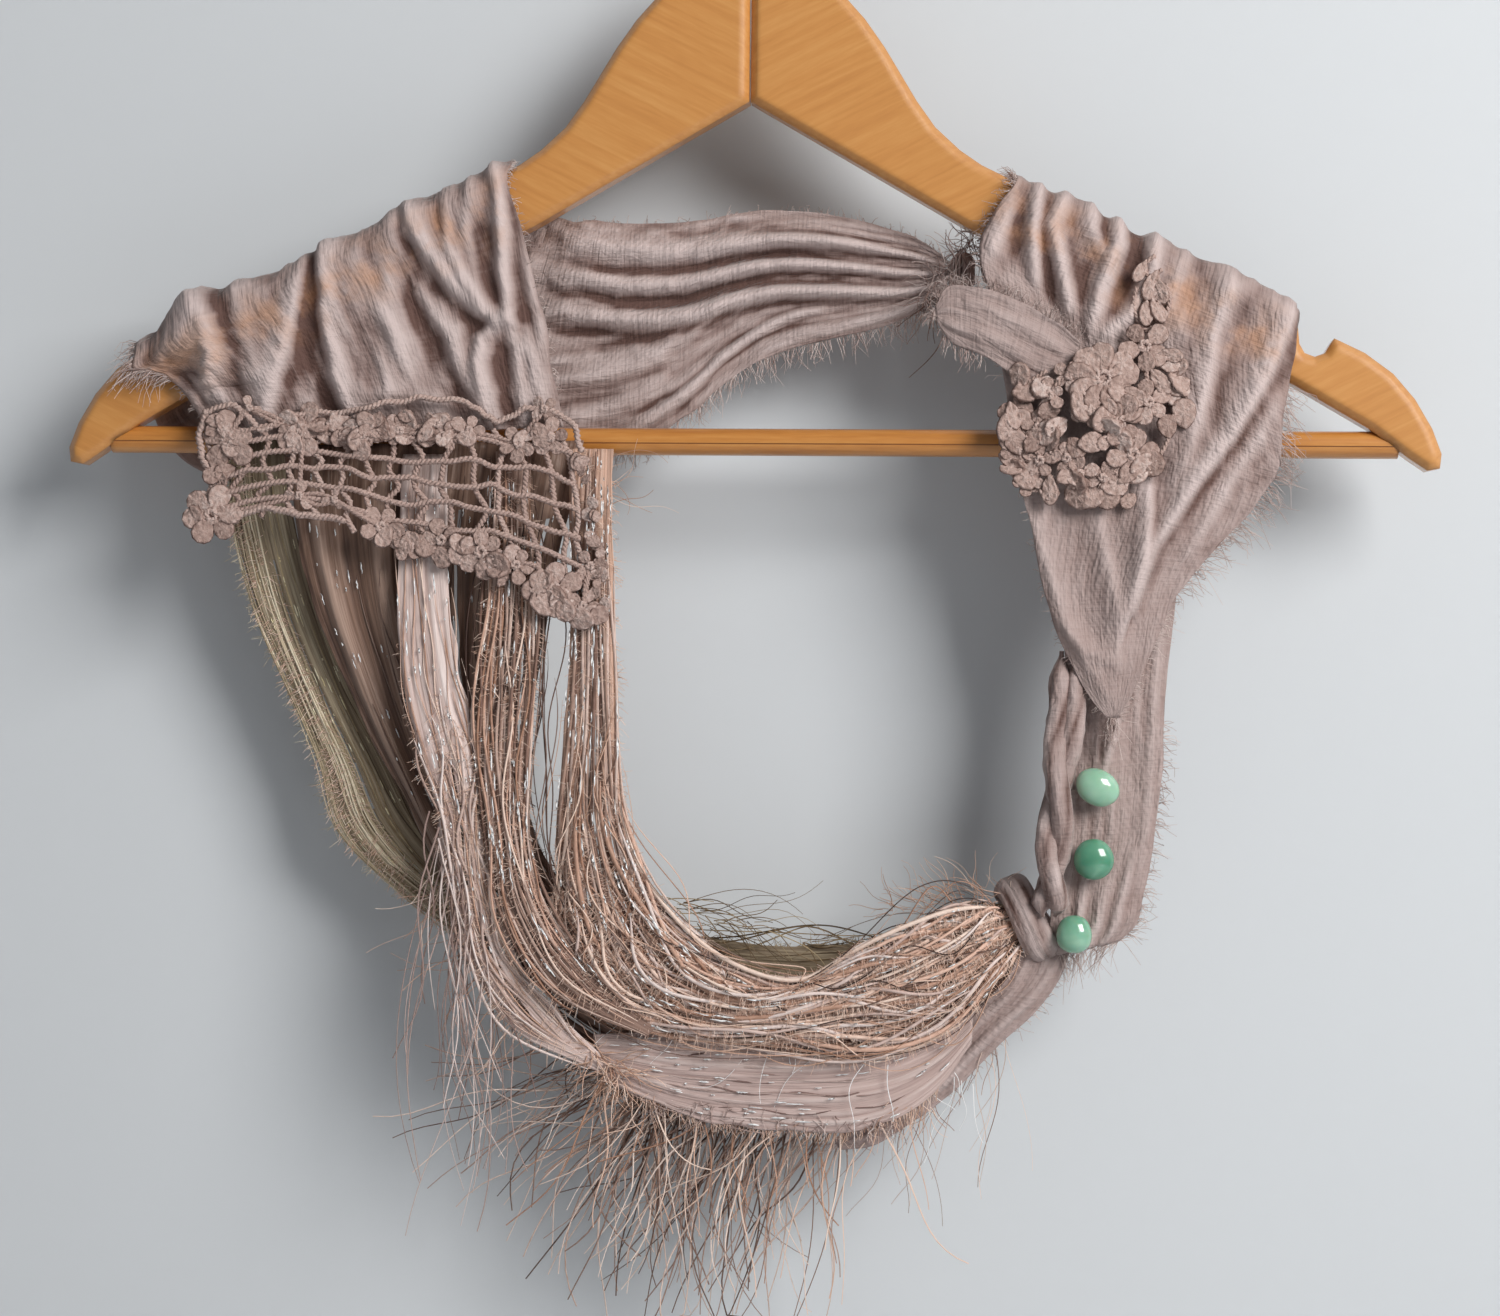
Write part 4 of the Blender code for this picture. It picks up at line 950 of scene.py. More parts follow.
# Then down the back and round towards the neck.
LEFT_BACK_ROWS = [
    Row(-197, 3, -75, 77, 9), Row(-177, -13, -72, 75.5, 10), Row(-138, -18, -69, 74.8, 11),
    Row(-97, -13.5, -66.5, 74.5, 12),
]
LEFT_FOLDS = [
    Fold(2, 9, 0.13, 0.19, 0.075, 7.5), Fold(9, 15, 0.12, 0.14, 0.06, 4.4),
    Fold(9, 15, 0.36, 0.34, 0.06, 4.4), Fold(9, 15, 0.62, 0.55, 0.06, 4.4),
    Fold(9, 15, 0.86, 0.78, 0.05, 4),
]
# The gathered stretch behind the neck, from the left drape to the tie.
NECK_ROWS = [
    Row(-70, 74.8, -99.5, -13.5, 13.4), Row(-55, 74, -72, -7, 12), Row(-41, 73, -43, -3, 12, 0.5),
    Row(-22, 73.5, -23, 7, 12, 0.5), Row(-5, 76, -8, 20, 12, 0.5), Row(10, 77, 9, 30, 11.6, 0.5),
    Row(29, 75, 29, 35, 10.6, 0.5), Row(48, 70, 48, 40, 9), Row(58, 65, 58, 46, 6.6),
    Row(63.6, 60.5, 63.6, 51.5, 4.4),
]
# Gauze over the right arm: from its pointed front end up to the arm.
RIGHT_FRONT_ROWS = [
    Row(116, -88, 120, -88, -13), Row(109, -79, 126, -77, -13, 0.6), Row(101, -63, 133, -61, -12.6, 0.8),
    Row(95, -46, 140, -47, -12, 0.8), Row(91, -25, 152, -33, -11.6, 0.8), Row(85, -3, 164, -20, -11, 0.6),
    Row(82, 19, 171, -8, -10.5, 0.4), Row(77, 45, 172, 5, -10, 0.2), Row(73, 61, 174, 18, -9.2),
    Row(78, 73, 176, 28, -8.4),
]
# Then down the back to the tie.
RIGHT_BACK_ROWS = [
    Row(80, 69, 168, 20, 9), Row(78, 64, 138, 18, 9.4, 0, 9.8), Row(77, 61.5, 106, 31, 8, 0, 9),
    Row(76, 60.6, 87, 45, 6.2, 0, 7), Row(75, 60, 76, 53, 4.6, 0, 5),
]
# The folded tail that carries the beads, from behind the right drape down past the bar.
TAIL_ROWS = [
    Row(140, 24, 107, 34, 9.4), Row(142, 8, 105, 14, 9.2, 0, 9), Row(142, -16, 103, -12, 8),
    Row(142, -36, 102, -36, 2, 0.2), Row(139, -54, 102, -58, -2.8, 0.6, -3.2),
    Row(137, -70, 102, -74, -3.6, 0.8, -4), Row(136, -88, 101, -92, -3.6, 1, -4),
    Row(135, -106, 101, -110, -3.6, 1.2, -4), Row(133, -125, 101, -128, -3.6, 1.2, -4),
    Row(129.5, -143, 99, -146, -3.6, 1.2), Row(127.5, -154, 98.5, -158, -4, 1, -3.4),
    Row(122, -160, 101, -165, -4, 0.4, -3.4),
]
TAIL_FOLDS = [
    Fold(4.6, 7.6, 0.3, 0.66, 0.045, 2.4), Fold(2, 9, 0.16, 0.12, 0.05, 1.2),
    Fold(8.2, 11.6, 0.2, 0.34, 0.05, 2), Fold(8.6, 11.6, 0.42, 0.56, 0.06, 2.6),
    Fold(8.2, 11.6, 0.66, 0.7, 0.05, 2.2), Fold(5, 9.5, 0.95, 0.84, 0.06, 1.8),
]
# A loose tab of gauze beside the rosette.
COLLAR_ROWS = [
    Row(60.6, 43, 61.2, 38, -12.2, 0.1), Row(64.5, 50, 66, 31, -12.8, 0.3), Row(75, 49, 74, 27, -14, 0.6),
    Row(87, 45, 83, 22, -14.8, 0.6), Row(99, 40, 94, 16, -15, 0.6, -15.4),
    Row(107, 32, 103, 20, -15, 0.4, -15.6),
]
# The ribbons, from under the crochet band down and round to the knot.
TAUPE_ROWS = [
    Row(-52, 0, -149, -2, -5.1), Row(-56, -19, -148.2, -24, -5.2), Row(-62, -45, -143.2, -50, -2),
    Row(-67, -71, -134, -75, 2), Row(-70, -97, -123, -98, 3, 0.4), Row(-70, -122, -110, -121, 3, 0.8),
    Row(-60, -143, -99, -144, 3, 1), Row(-36, -161, -92, -160, 3, 1), Row(-14, -173, -84, -177, 3, 1),
    Row(6, -178, -67, -194, 3, 1), Row(22, -176, -40, -209, 3, 0.8), Row(38, -171, -7, -218, 3, 0.8),
    Row(54, -164, 29, -219, 3, 0.8), Row(70, -155, 60, -206, 2.6, 0.6), Row(80.4, -150, 86, -173, 1.6, 0.2),
    Row(87.1, -150.6, 91.7, -158.4, 1), Row(90.2, -150, 93.8, -156, 0.8),
]
TAUPE_FOLDS = [
    Fold(0.3, 9, 0.9, 0.86, 0.05, 3.2), Fold(0.3, 9.5, 0.7, 0.7, 0.05, 3.4),
    Fold(0.3, 10, 0.5, 0.52, 0.06, 3.2), Fold(0.3, 9.5, 0.3, 0.34, 0.05, 3.2),
    Fold(0.3, 8, 0.1, 0.16, 0.05, 3), Fold(8, 14.2, 0.2, 0.3, 0.08, 2), Fold(8, 14.2, 0.58, 0.6, 0.08, 2),
]
OLIVE_ROWS = [
    Row(-151.2, 2, -168, -1, -5.2), Row(-150.4, -9, -169, -12, -5.2), Row(-148, -28, -168, -30, 1),
    Row(-142, -53, -162, -56, 8, 0.6), Row(-132, -80, -151, -82, 10.6, 1),
    Row(-119, -105, -141, -106, 11.4, 1), Row(-107, -126, -134, -127, 11.4, 1),
    Row(-90, -144, -117, -145, 11.4, 1), Row(-61, -157, -92, -164, 11.4, 0.6),
    Row(-28, -160, -55, -184, 11.4, 0.6), Row(5, -163, -14, -198, 11.4, 0.6),
    Row(34, -163, 25, -200, 10.6, 0.6), Row(58, -158, 52, -192, 8.6, 0.4), Row(80, -149.6, 86, -170, 5.4),
    Row(87.1, -150.6, 91.7, -158.4, 4.2), Row(90.2, -150, 93.8, -156, 3.9),
]
OLIVE_FOLDS = [
    Fold(1, 8, 0.3, 0.35, 0.14, 0.9), Fold(2, 13, 0.75, 0.7, 0.12, 0.8),
]
SATIN_ROWS = [
    Row(-97, -5, -112, -5, -7.7, 0.2), Row(-96, -26, -113, -26, -10.3, 0.6),
    Row(-94, -52, -113, -54, -10.5, 1), Row(-91, -76, -111, -78, -10.5, 1),
    Row(-86, -98, -106, -100, -10.5, 1), Row(-83, -120, -100, -120, -10.5, 1),
    Row(-81, -142, -96, -142, -10.5, 1), Row(-74, -164, -89, -166, -10.5, 1),
    Row(-60, -184, -75, -190, -10.5, 1), Row(-43, -200, -46, -204, -10.5, 0.2),
]
CORDS_ROWS = [
    Row(-69, -4, -82, -4, -7.7, 0.2), Row(-69, -28, -82, -28, -10.8, 0.6),
    Row(-68, -52, -83, -52, -11.4, 0.8), Row(-69, -78, -84, -78, -11.4, 0.8),
    Row(-70, -104, -84.4, -104, -11.6, 0.8), Row(-69, -130, -81, -130, -12.6, 0.8),
    Row(-62, -152, -76, -155, -13.9, 0.8), Row(-46, -173, -60, -179, -15.4, 0.8),
    Row(-27, -189, -30, -192, -15.6, 0.1),
]
SWAG_ROWS = [
    Row(-43, -3, -57, -3, -7.7, 0.2), Row(-43, -24, -57, -24, -10.2, 0.6),
    Row(-42, -46, -56, -46, -10.2, 0.8), Row(-41, -70, -57, -70, -9.8, 0.8),
    Row(-40, -95, -58, -95, -9.8, 0.8), Row(-38, -121, -60, -121, -10.2, 0.8),
    Row(-30, -143, -60, -143, -10.6, 0.8), Row(-16, -161, -58, -163, -10.8, 0.8),
    Row(0, -172, -45, -182, -10.8, 0.8), Row(16, -175, -18, -192, -10.8, 0.8),
    Row(32, -168, 14, -194, -10.8, 0.8), Row(49, -159, 42, -194, -10.4, 0.8),
    Row(66, -151, 67, -187, -8.6, 0.6), Row(77, -149, 83, -172, -6, 0.2), Row(83, -151.4, 89, -161.8, -4),
    Row(87.1, -150.6, 91.7, -158.4, -2.9), Row(90.2, -150, 93.8, -156, -2.6),
]
SWAG_FOLDS = [
    Fold(4, 13.4, 0.2, 0.25, 0.1, 2.2), Fold(4.5, 13.4, 0.5, 0.52, 0.1, 2),
    Fold(5, 13.4, 0.8, 0.8, 0.1, 2.2),
]
MAUVE_ROWS = [
    Row(-48, -192, -45, -207, -7.9, 0.3), Row(-26, -190, -24, -216, -7.9, 0.8),
    Row(-7, -187, -6, -221, -7.9, 1), Row(13, -186, 13, -223, -7.9, 1.2),
    Row(32, -184, 34, -223, -7.9, 1.2), Row(50, -182, 51, -218, -7.1, 0.8),
    Row(65, -179, 64, -208, -5.4, 0.6), Row(75, -178, 74, -194, -4.4, 0.3),
]
# The frayed end of gauze that leaves the knot.
GAUZE_END_ROWS = [
    Row(106.5, -161.5, 89, -164.5, -1.8, 0.4), Row(103.5, -171.5, 84.5, -172.5, -1.6, 0.8),
    Row(97.5, -181, 79.5, -178.5, -1, 1), Row(88, -190, 73.5, -184.5, -0.8, 1.2),
    Row(78.5, -200, 66, -192, -0.8, 1.2), Row(68.5, -210, 57.5, -201, -0.8, 1.2),
    Row(57, -219, 49, -210, -0.8, 1.2), Row(44, -227, 38, -218, -0.8, 1),
    Row(32, -229, 30, -226, -0.8, 0.1),
]
# The crochet band, from left to right: edge a is its top, edge b its bottom.
CROCHET_COLUMNS = [
    Row(-174, 7, -174, -35, -15.8, 0, -15.2), Row(-159, 6, -159, -29, -15.8, 0, -15.2),
    Row(-143, 8, -142, -28, -15.8, 0, -15.2), Row(-128, 9, -128, -33, -15.8, 0, -15.2),
    Row(-114, 10, -114, -39, -15.8, 0, -15.2), Row(-98, 10, -97, -41, -15.8, 0, -15.2),
    Row(-82, 9, -83, -43, -15.8, 0, -15.2), Row(-69, 9, -66, -49, -15.8, 0, -15.2),
    Row(-57, 8, -50, -58, -15.8, 0, -15.2),
]
# Middle line of the braid.
BRAID_LINE = [
    (104.4, -9.4, -67), (103.8, -9.8, -84), (102.4, -12.2, -98), (100.6, -12.4, -116), (99.6, -12.4, -131),
    (99, -11.6, -143), (98.6, -9.8, -152),
]


# The straight top edge of an arm: its height at a place near its inner end.
ARM_TOP = 89.4
ARM_FROM = 75.0


def arm_top(x: float) -> float:
    """Height of a hanger arm's straight top edge at a distance from the middle."""
    return ARM_TOP - ARM_SLOPE * (abs(x) - ARM_FROM)


def arch_rows(ax: float, bx: float, angles: Sequence[float], radius: float = 8.1) -> list[Row]:
    """Rows of cloth over a hanger arm, one for each angle in degrees from its front to its back."""
    turns = [(radius * math.sin(math.radians(a)), radius * math.cos(math.radians(a)) - 6.5) for a in angles]
    return [Row(ax, arm_top(ax) + rise, bx, arm_top(bx) + rise, y) for y, rise in turns]


# The hairs of each sheet: edge, rows or places, number and lengths.
GAUZE_FRAYS = {
    "drape_left": ((0, (2.5, 7), 150, (3, 9)), (0, (0, 3), 30, (1, 3)), (1, (1, 7), 120, (1, 3))),
    "neck_stretch": ((1, (0, 9), 520, (2, 7)), (0, (0, 9), 90, (1, 4)), (2, (0.1, 0.9), 60, (2, 8))),
    "drape_right": ( (1, (3, 8), 260, (3, 9)), (1, (0, 3), 80, (2, 5)), (3, (0.1, 0.9), 70, (3, 9)), (0,
      (6, 12), 120, (2, 6)), (0, (0, 5), 40, (1, 3)), ),
    "tail": ((0, (6, 11), 140, (2, 6)), (2, (0.05, 0.95), 90, (3, 10))),
    "collar_tab": ((0, (0, 5), 220, (2, 7)), (1, (0.3, 2.2), 60, (2, 5)), (3, (0.02, 0.98), 50, (2, 6))),
    "gauze_end": ((0, (0, 8), 70, (1, 4)), (2, (0.1, 0.9), 16, (3, 8))),
}


# Small creases of the left drape and the neck stretch.
CREASES = (
    Crease(15, 30, 1.5, 2, True), Crease(7, 34, 0.9, 3), Crease(6, 9, 0.7, 4),
    Crease(2.6, 4, 0.35, 5, True),
)
# Small creases of the right drape.
BROAD_CREASES = (
    Crease(17, 30, 1.7, 12, True), Crease(9, 40, 0.45, 13), Crease(6, 9, 0.6, 14),
    Crease(2.6, 4, 0.3, 15, True),
)
# Small creases of the tail, the tab and the frayed end.
FINE_CREASES = (
    Crease(12, 26, 1, 7, True), Crease(5, 36, 0.9, 8), Crease(3, 5, 0.35, 9, True),
)
# The folds of the left drape, as the front shows them.
LEFT_RIDGES = (
    Ridge(((-186, 40), (-180, 45), (-170, 49), (-160, 46)), 4, 5, 5),
    Ridge(((-181, 41), (-176, 35), (-173, 26), (-175, 18), (-167, 8)), 3, 5, 4.3),
    Ridge(((-166, 45), (-162, 32), (-159, 18), (-154, 6)), 5, 8, 3),
    Ridge(((-143, 60), (-146, 46), (-149, 32), (-154, 13), (-156, 2)), 9, 2.2, 5.9),
    Ridge(((-137, 64), (-137, 51), (-137, 41), (-133, 21), (-128, 6)), 2.2, 9, 5.9),
    Ridge(((-128, 66), (-125, 48), (-127, 36)), 5, 5, 2),
    Ridge(((-116, 73), (-116, 47), (-113, 32), (-117, 11)), 7, 7, 3),
    Ridge(((-111, 76), (-107, 66), (-97, 51), (-87, 41), (-80, 38)), 2.6, 6, 5.6),
    Ridge(((-98, 80), (-97, 63), (-92, 52), (-83, 39)), 1.8, 3, 3.6),
    Ridge(((-90, 83), (-91, 66), (-87, 51)), 3, 3, 2.5),
    Ridge(((-82, 88), (-80, 70), (-79, 53), (-77, 39)), 1.8, 2.5, 5.5),
    Ridge(((-77, 86), (-73, 70), (-69, 47), (-64, 26)), 2.5, 2.5, 2.3),
    Ridge(((-79, 39), (-86, 32), (-87, 24), (-84, 9)), 2.2, 4, 4.8),
    Ridge(((-77, 37), (-74, 29), (-73, 19), (-70, 6)), 2.6, 3, 3.8),
    Ridge(((-71, 34), (-67, 21), (-65, 8)), 3, 3, 2.7),
    Ridge(((-106, 47), (-97, 34), (-93, 24), (-86, 9)), 2, 5, 3.8),
    Ridge(((-133, 18), (-123, 14), (-110, 15), (-98, 12)), 4, 4, 2),
    Ridge(((-121, 44), (-112, 31), (-108, 20)), 2.5, 4, 1.8),
)
# The folds of the right drape, as the front shows them.
RIGHT_RIDGES = (
    Ridge(((85, 78), (81, 67), (76, 56)), 5, 3, 3.4), Ridge(((93, 82), (91, 66), (92, 52)), 2, 2.5, 5.6),
    Ridge(((101, 79), (97, 69), (100, 56), (103, 42)), 2, 3, 5.2),
    Ridge(((108, 77), (111, 66), (114, 59)), 3, 2.5, 4.1),
    Ridge(((117, 76), (118, 62), (113, 50), (110, 37)), 2.2, 4, 6.1),
    Ridge(((129, 70), (129, 54), (122, 40), (115, 34)), 2.6, 4, 5.6),
    Ridge(((140, 62), (135, 45), (138, 34)), 5, 4, 3),
    Ridge(((148, 58), (154, 47), (160, 48), (172, 41)), 5, 5, 3.6),
    Ridge(((173, 39), (165, 20), (154, 1), (142, -15), (131, -33), (124, -54)), 6, 2, 5.6),
    Ridge(((154, 50), (149, 34), (146, 15), (139, -9)), 6, 3, 3.4),
    Ridge(((169, 12), (155, -12), (142, -35)), 4, 3, 2.5),
    Ridge(((128, -8), (129, -22), (127, -39), (123, -54)), 7, 1.8, 4.1),
    Ridge(((112, -12), (114, -32), (119, -54), (119, -73)), 5, 3, 2.7),
    Ridge(((92, -25), (98, -44), (104, -62), (116, -81)), 3, 4, 2.7),
    Ridge(((100, -57), (109, -67), (119, -71)), 2, 3, 2),
)
# Gathers of the neck stretch.
NECK_FOLDS = (
    Fold(0.6, 9.3, 0.36, 0.8, 0.045, 7.5), Fold(0.6, 9.3, 0.23, 0.55, 0.04, 6.5),
    Fold(0.6, 6.5, 0.09, 0.24, 0.07, 4.5), Fold(3.2, 9.3, 0.2, 0.28, 0.04, 5.5),
    Fold(2, 5.8, 0.92, 0.74, 0.03, 3.6), Fold(0.8, 3.8, 0.66, 0.58, 0.07, 3.2),
    Fold(4.5, 9.3, 0.92, 0.88, 0.05, 3.2), Fold(0.8, 2.8, 0.84, 0.74, 0.05, 3),
)
# Folds of the frayed end.
END_FOLDS = (
    Fold(0.4, 8, 0.3, 0.36, 0.09, 1.8), Fold(0.8, 8, 0.72, 0.66, 0.08, 1.5),
)
# Folds of the tab.
COLLAR_FOLDS = (
    Fold(0.5, 4.6, 0.7, 0.62, 0.12, 2), Fold(1.5, 4.6, 0.25, 0.36, 0.1, 1.6),
)


@dataclass
class Drapes:
    """The creased gauze: over the left arm, behind the neck, over the right arm, and its loose ends."""

    wall: float = 0.5

    def build(self) -> dict[str, tuple]:
        """Every sheet of gauze, dressed.

        Returns:
            For each name its piece, how it is held, what it rests on, and its fray.
        """
        left = LEFT_FRONT_ROWS + arch_rows(-200.0, -77.0, (-90, -45, 0, 45, 90)) + LEFT_BACK_ROWS
        right = RIGHT_FRONT_ROWS + arch_rows(84.0, 176.0, (-60, -20, 20, 60, 90)) + RIGHT_BACK_ROWS
        jobs = [
            ("drape_left", left, LEFT_FOLDS, CREASES, 2, 128, 152, Hold.DRAPED, "hanger_arm_left",
             {"ridges": LEFT_RIDGES, "front_rows": 7, "lift": 0.6, "ragged": 1.5}),
            ("neck_stretch", NECK_ROWS, NECK_FOLDS, CREASES, 3, 96, 110, Hold.GATHERED, "drape_left_gauze",
             {"ragged": 1.2, "full_width": 60, "relief": 2.3}),
            ("drape_right", right, (), BROAD_CREASES, 4, 106, 174, Hold.DRAPED, "hanger_arm_right",
             {"ridges": RIGHT_RIDGES, "front_rows": 10, "lift": 0.6, "ragged": 1.5, "cut_share": 0.75}),
            ("tail", TAIL_ROWS, TAIL_FOLDS, FINE_CREASES, 5, 48, 120, Hold.FOLDED, "drape_right_gauze",
             {"ragged": 1.0, "full_width": 40, "relief": 2.4}),
            ("collar_tab", COLLAR_ROWS, COLLAR_FOLDS, FINE_CREASES, 6, 40, 60, Hold.HUNG, "drape_right_gauze",
             {"ragged": 1.2, "full_width": 24}),
            ("gauze_end", GAUZE_END_ROWS, END_FOLDS, FINE_CREASES, 7, 28, 80, Hold.GATHERED, "knot_wrap",
             {"ragged": 0.8, "full_width": 14}),
        ]
        made = {}
        for name, rows, folds, creases, seed, across, along, held, under, more in jobs:
            cloth = Cloth(rows, folds, creases, seed=seed, **more)
            sheet = cloth.sheet(across, along).object(f"{name}_gauze")
            piece = dress(sheet, GAUZE, [name], self.wall)
            hairs = [
                cloth.fray(count, edge, place, length, 0.14, 20 + number)
                for number, (edge, place, count, length) in enumerate(GAUZE_FRAYS[name])
            ]
            fray = dress(joined(hairs).object(f"{name}_fray"), GAUZE_HAIR)
            made[name] = (piece, held, [under], [fray])
        return made


# The slits of each ribbon.
SLITS = {
    "taupe": (
        Slit(1, 8, 0.4, 0.43, 0.035), Slit(2, 13, 0.21, 0.25, 0.03), Slit(2.5, 9, 0.6, 0.62, 0.03),
        Slit(4, 15, 0.78, 0.8, 0.03), Slit(7, 15, 0.5, 0.52, 0.03), Slit(1, 6, 0.08, 0.1, 0.05),
    ),
    "swag": (
        Slit(1.5, 9, 0.45, 0.5, 0.1), Slit(4, 14, 0.24, 0.3, 0.07), Slit(5, 14.5, 0.68, 0.72, 0.08),
        Slit(7, 15, 0.86, 0.86, 0.05),
    ),
    "cords": (
        Slit(0.3, 7.8, 0.2, 0.2, 0.08), Slit(0.5, 7.5, 0.42, 0.4, 0.08),
        Slit(0.4, 7.6, 0.62, 0.6, 0.08), Slit(0.3, 7.8, 0.82, 0.8, 0.08),
    ),
    "olive": (Slit(2, 12, 0.5, 0.55, 0.08),),
    "satin": (Slit(4, 8.8, 0.5, 0.5, 0.12),),
}


@dataclass
class Ribbons:
    """The shredded ribbons that hang from the lace and sweep up to the knot."""

    wall: float = 0.4
    lines: tuple[Crease, ...] = (Crease(3.2, 90, 0.9, 13), Crease(1.4, 40, 0.35, 14))

    def build(self) -> dict[str, Any]:
        """Every ribbon, dressed.

        Returns:
            The pieces by name.
        """
        jobs = [
            ("taupe", TAUPE_ROWS, TAUPE_FOLDS, TAUPE, 76, 156),
            ("olive", OLIVE_ROWS, OLIVE_FOLDS, OLIVE, 38, 160),
            ("satin", SATIN_ROWS, (), SATIN, 28, 110),
            ("cords", CORDS_ROWS, (), CORDS, 40, 110),
            ("swag", SWAG_ROWS, SWAG_FOLDS, PINK, 54, 164),
            ("mauve", MAUVE_ROWS, (), MAUVE, 40, 84),
        ]
        made, self.cloths = {}, {}
        for name, rows, folds, finish, across, along in jobs:
            slits = SLITS.get(name, ())
            cloth = Cloth(rows, folds, self.lines, slits, full_width=30, ragged=1.2, seed=30 + len(made))
            sheet = cloth.sheet(across, along).object(f"ribbon_{name}_warp")
            made[name] = dress(sheet, finish, [f"ribbon_{name}"], self.wall)
            self.cloths[name] = cloth
        return made


def lashes(paths: Array, half_width: float, count: int, length: Span, radius: float,
           seed: int) -> Skin:
    """Short ends of weft that stand off both sides of torn strips, like eyelashes.

    Args:
        paths: Middle lines of the strips, one a row.
        half_width: Half the width of a strip in millimetres.
        count: Lashes on each strip.
        length: Shortest and longest lash in millimetres.
        radius: Radius of a lash in millimetres.
        seed: Which lashes.

    Returns:
        The lashes as thin tubes.
    """
    pick = np.random.default_rng(seed)
    total = len(paths) * count
    which = np.repeat(np.arange(len(paths)), count)
    at = pick.uniform(0, paths.shape[1] - 1.001, total)
    step, part = at.astype(int), (at % 1)[:, None]
    low, high = paths[which, step], paths[which, step + 1]
    run = unit(high - low)
    across = unit(np.cross(run, (0.0, 1.0, 0.0))) * pick.choice([-1.0, 1.0], total)[:, None]
    out = across + 0.4 * run * pick.normal(0, 1, (total, 1))
    out = out + 0.6 * FRONT * pick.random((total, 1))
    along = np.linspace(0, 1, 2)[None, :, None]
    reach = pick.uniform(*length, total)[:, None, None]
    fall = pick.uniform(0.0, 0.7, (total, 1, 1)) * DOWN * along**2
    root = low + (high - low) * part + across * half_width * 0.8
    hairs = root[:, None] + reach * (unit(out)[:, None] * along + fall)
    radii = radius * (1 - 0.4 * along[..., 0]) * np.ones((total, 1))
    return tubes(hairs, radii, np.clip(pick.normal(0.7, 0.2, total), 0, 1))


# Every kind of strip, from the olive ribbon at the left round to the knot.
TRAILS = (
    Trail("olive", 40, (0.2, 9), (0, 1), (4, 9), 0.04, (0.1, 0.7), 0.26, 0.6, 0, OLIVE_THREAD, 1),
    Trail("olive", 30, (8, 12), (0, 1), (2, 5), 0.12, (0.2, 3.5), 0.3, 0.7, 0, OLIVE_THREAD, 2),
    Trail("olive", 46, (0.4, 4), (0.55, 1.05), (5, 9), 0.02, (0.1, 0.7), 0.3, 0.6, 40, PALE_GOLD, 21),
    Trail("taupe", 50, (0.1, 8), (0.02, 0.98), (4, 10), 0.015, (0.1, 0.8), 0.26, 0.6, 0, BROWN, 3),
    Trail("taupe", 36, (4, 9), (0.05, 0.6), (4, 9), 0.03, (0.6, 3), 0.6, 0.3, 50, TORN_TAUPE, 4),
    Trail("satin", 18, (3.2, 4.6), (0, 1), (3.5, 5.4), 0.13, (0.2, 2.2), 0.5, 0.4, 60, TORN_PINK, 5),
    Trail("satin", 22, (0.2, 5), (0, 1), (3, 5), 0.05, (0.3, 1.4), 0.25, 0.7, 0, PEACH, 6),
    Trail("cords", 24, (0, 1.4), (-0.05, 1.05), (5.5, 8), 0.06, (0.2, 1.8), 0.48, 0.7, 50, ROSE_BROWN, 7),
    Trail("cords", 14, (0, 3), (0, 1.1), (4, 6), 0.12, (0.6, 2.6), 0.4, 0.7, 60, TORN_PEACH, 22),
    Trail("cords", 26, (0, 3), (-0.6, 1.2), (4, 6), 0.12, (-3, 1.8), 0.26, 0.8, 0, BROWN, 8),
    Trail("swag", 22, (0, 2), (0.02, 0.98), (9, 13), 0.06, (0.2, 1.8), 0.55, 0.4, 90, ROSE_BROWN, 9),
    Trail("swag", 50, (4, 8), (0.02, 0.98), (5, 9.4), 0.08, (0.3, 3.6), 0.65, 0.35, 110, TORN_PEACH, 10),
    Trail("swag", 30, (5, 9), (0, 0.95), (4, 7), 0.13, (1, 4.4), 0.6, 0.35, 100, TORN_PINK, 11),
    Trail("swag", 60, (3, 10), (-0.05, 1.05), (3, 7), 0.17, (0.6, 4.5), 0.24, 0.8, 0, PEACH, 12),
    Trail("swag", 50, (4, 10), (-0.1, 1.05), (3, 7), 0.11, (0.4, 4.4), 0.22, 0.8, 0, BROWN, 13),
    Trail("mauve", 26, (0, 2), (0.03, 0.97), (3, 5), 0.02, (0.1, 0.6), 0.3, 0.6, 0, MAUVE_THREAD, 14),
    Trail("olive", 90, (1, 9), (0.05, 0.95), (0.03, 0.2), 0.001, (0.6, 0.9), 0.24, 0.35, 0, GOLD_PAINTED_GLINT, 15),
    Trail("taupe", 190, (0.4, 9), (0.05, 0.95), (0.03, 0.16), 0.001, (1.4, 2.2), 0.26, 0.35, 0, SILVER_PAINTED_GLINT, 16),
    Trail("satin", 70, (0.6, 7), (0.05, 0.95), (0.03, 0.25), 0.001, (2.2, 3), 0.32, 0.35, 0, SILVER_PAINTED_GLINT, 17),
    Trail("cords", 90, (0.3, 7), (-0.1, 1.1), (0.03, 0.3), 0.001, (2.6, 3.8), 0.3, 0.35, 0, SILVER_PAINTED_GLINT, 18),
    Trail("swag", 260, (0, 13), (0, 1), (0.03, 0.3), 0.001, (3.8, 5.6), 0.32, 0.35, 0, SILVER_PAINTED_GLINT, 19),
    Trail("mauve", 90, (0.2, 6), (0.05, 0.95), (0.03, 0.3), 0.001, (1.3, 1.9), 0.3, 0.35, 0, SILVER_PAINTED_GLINT, 20),
)


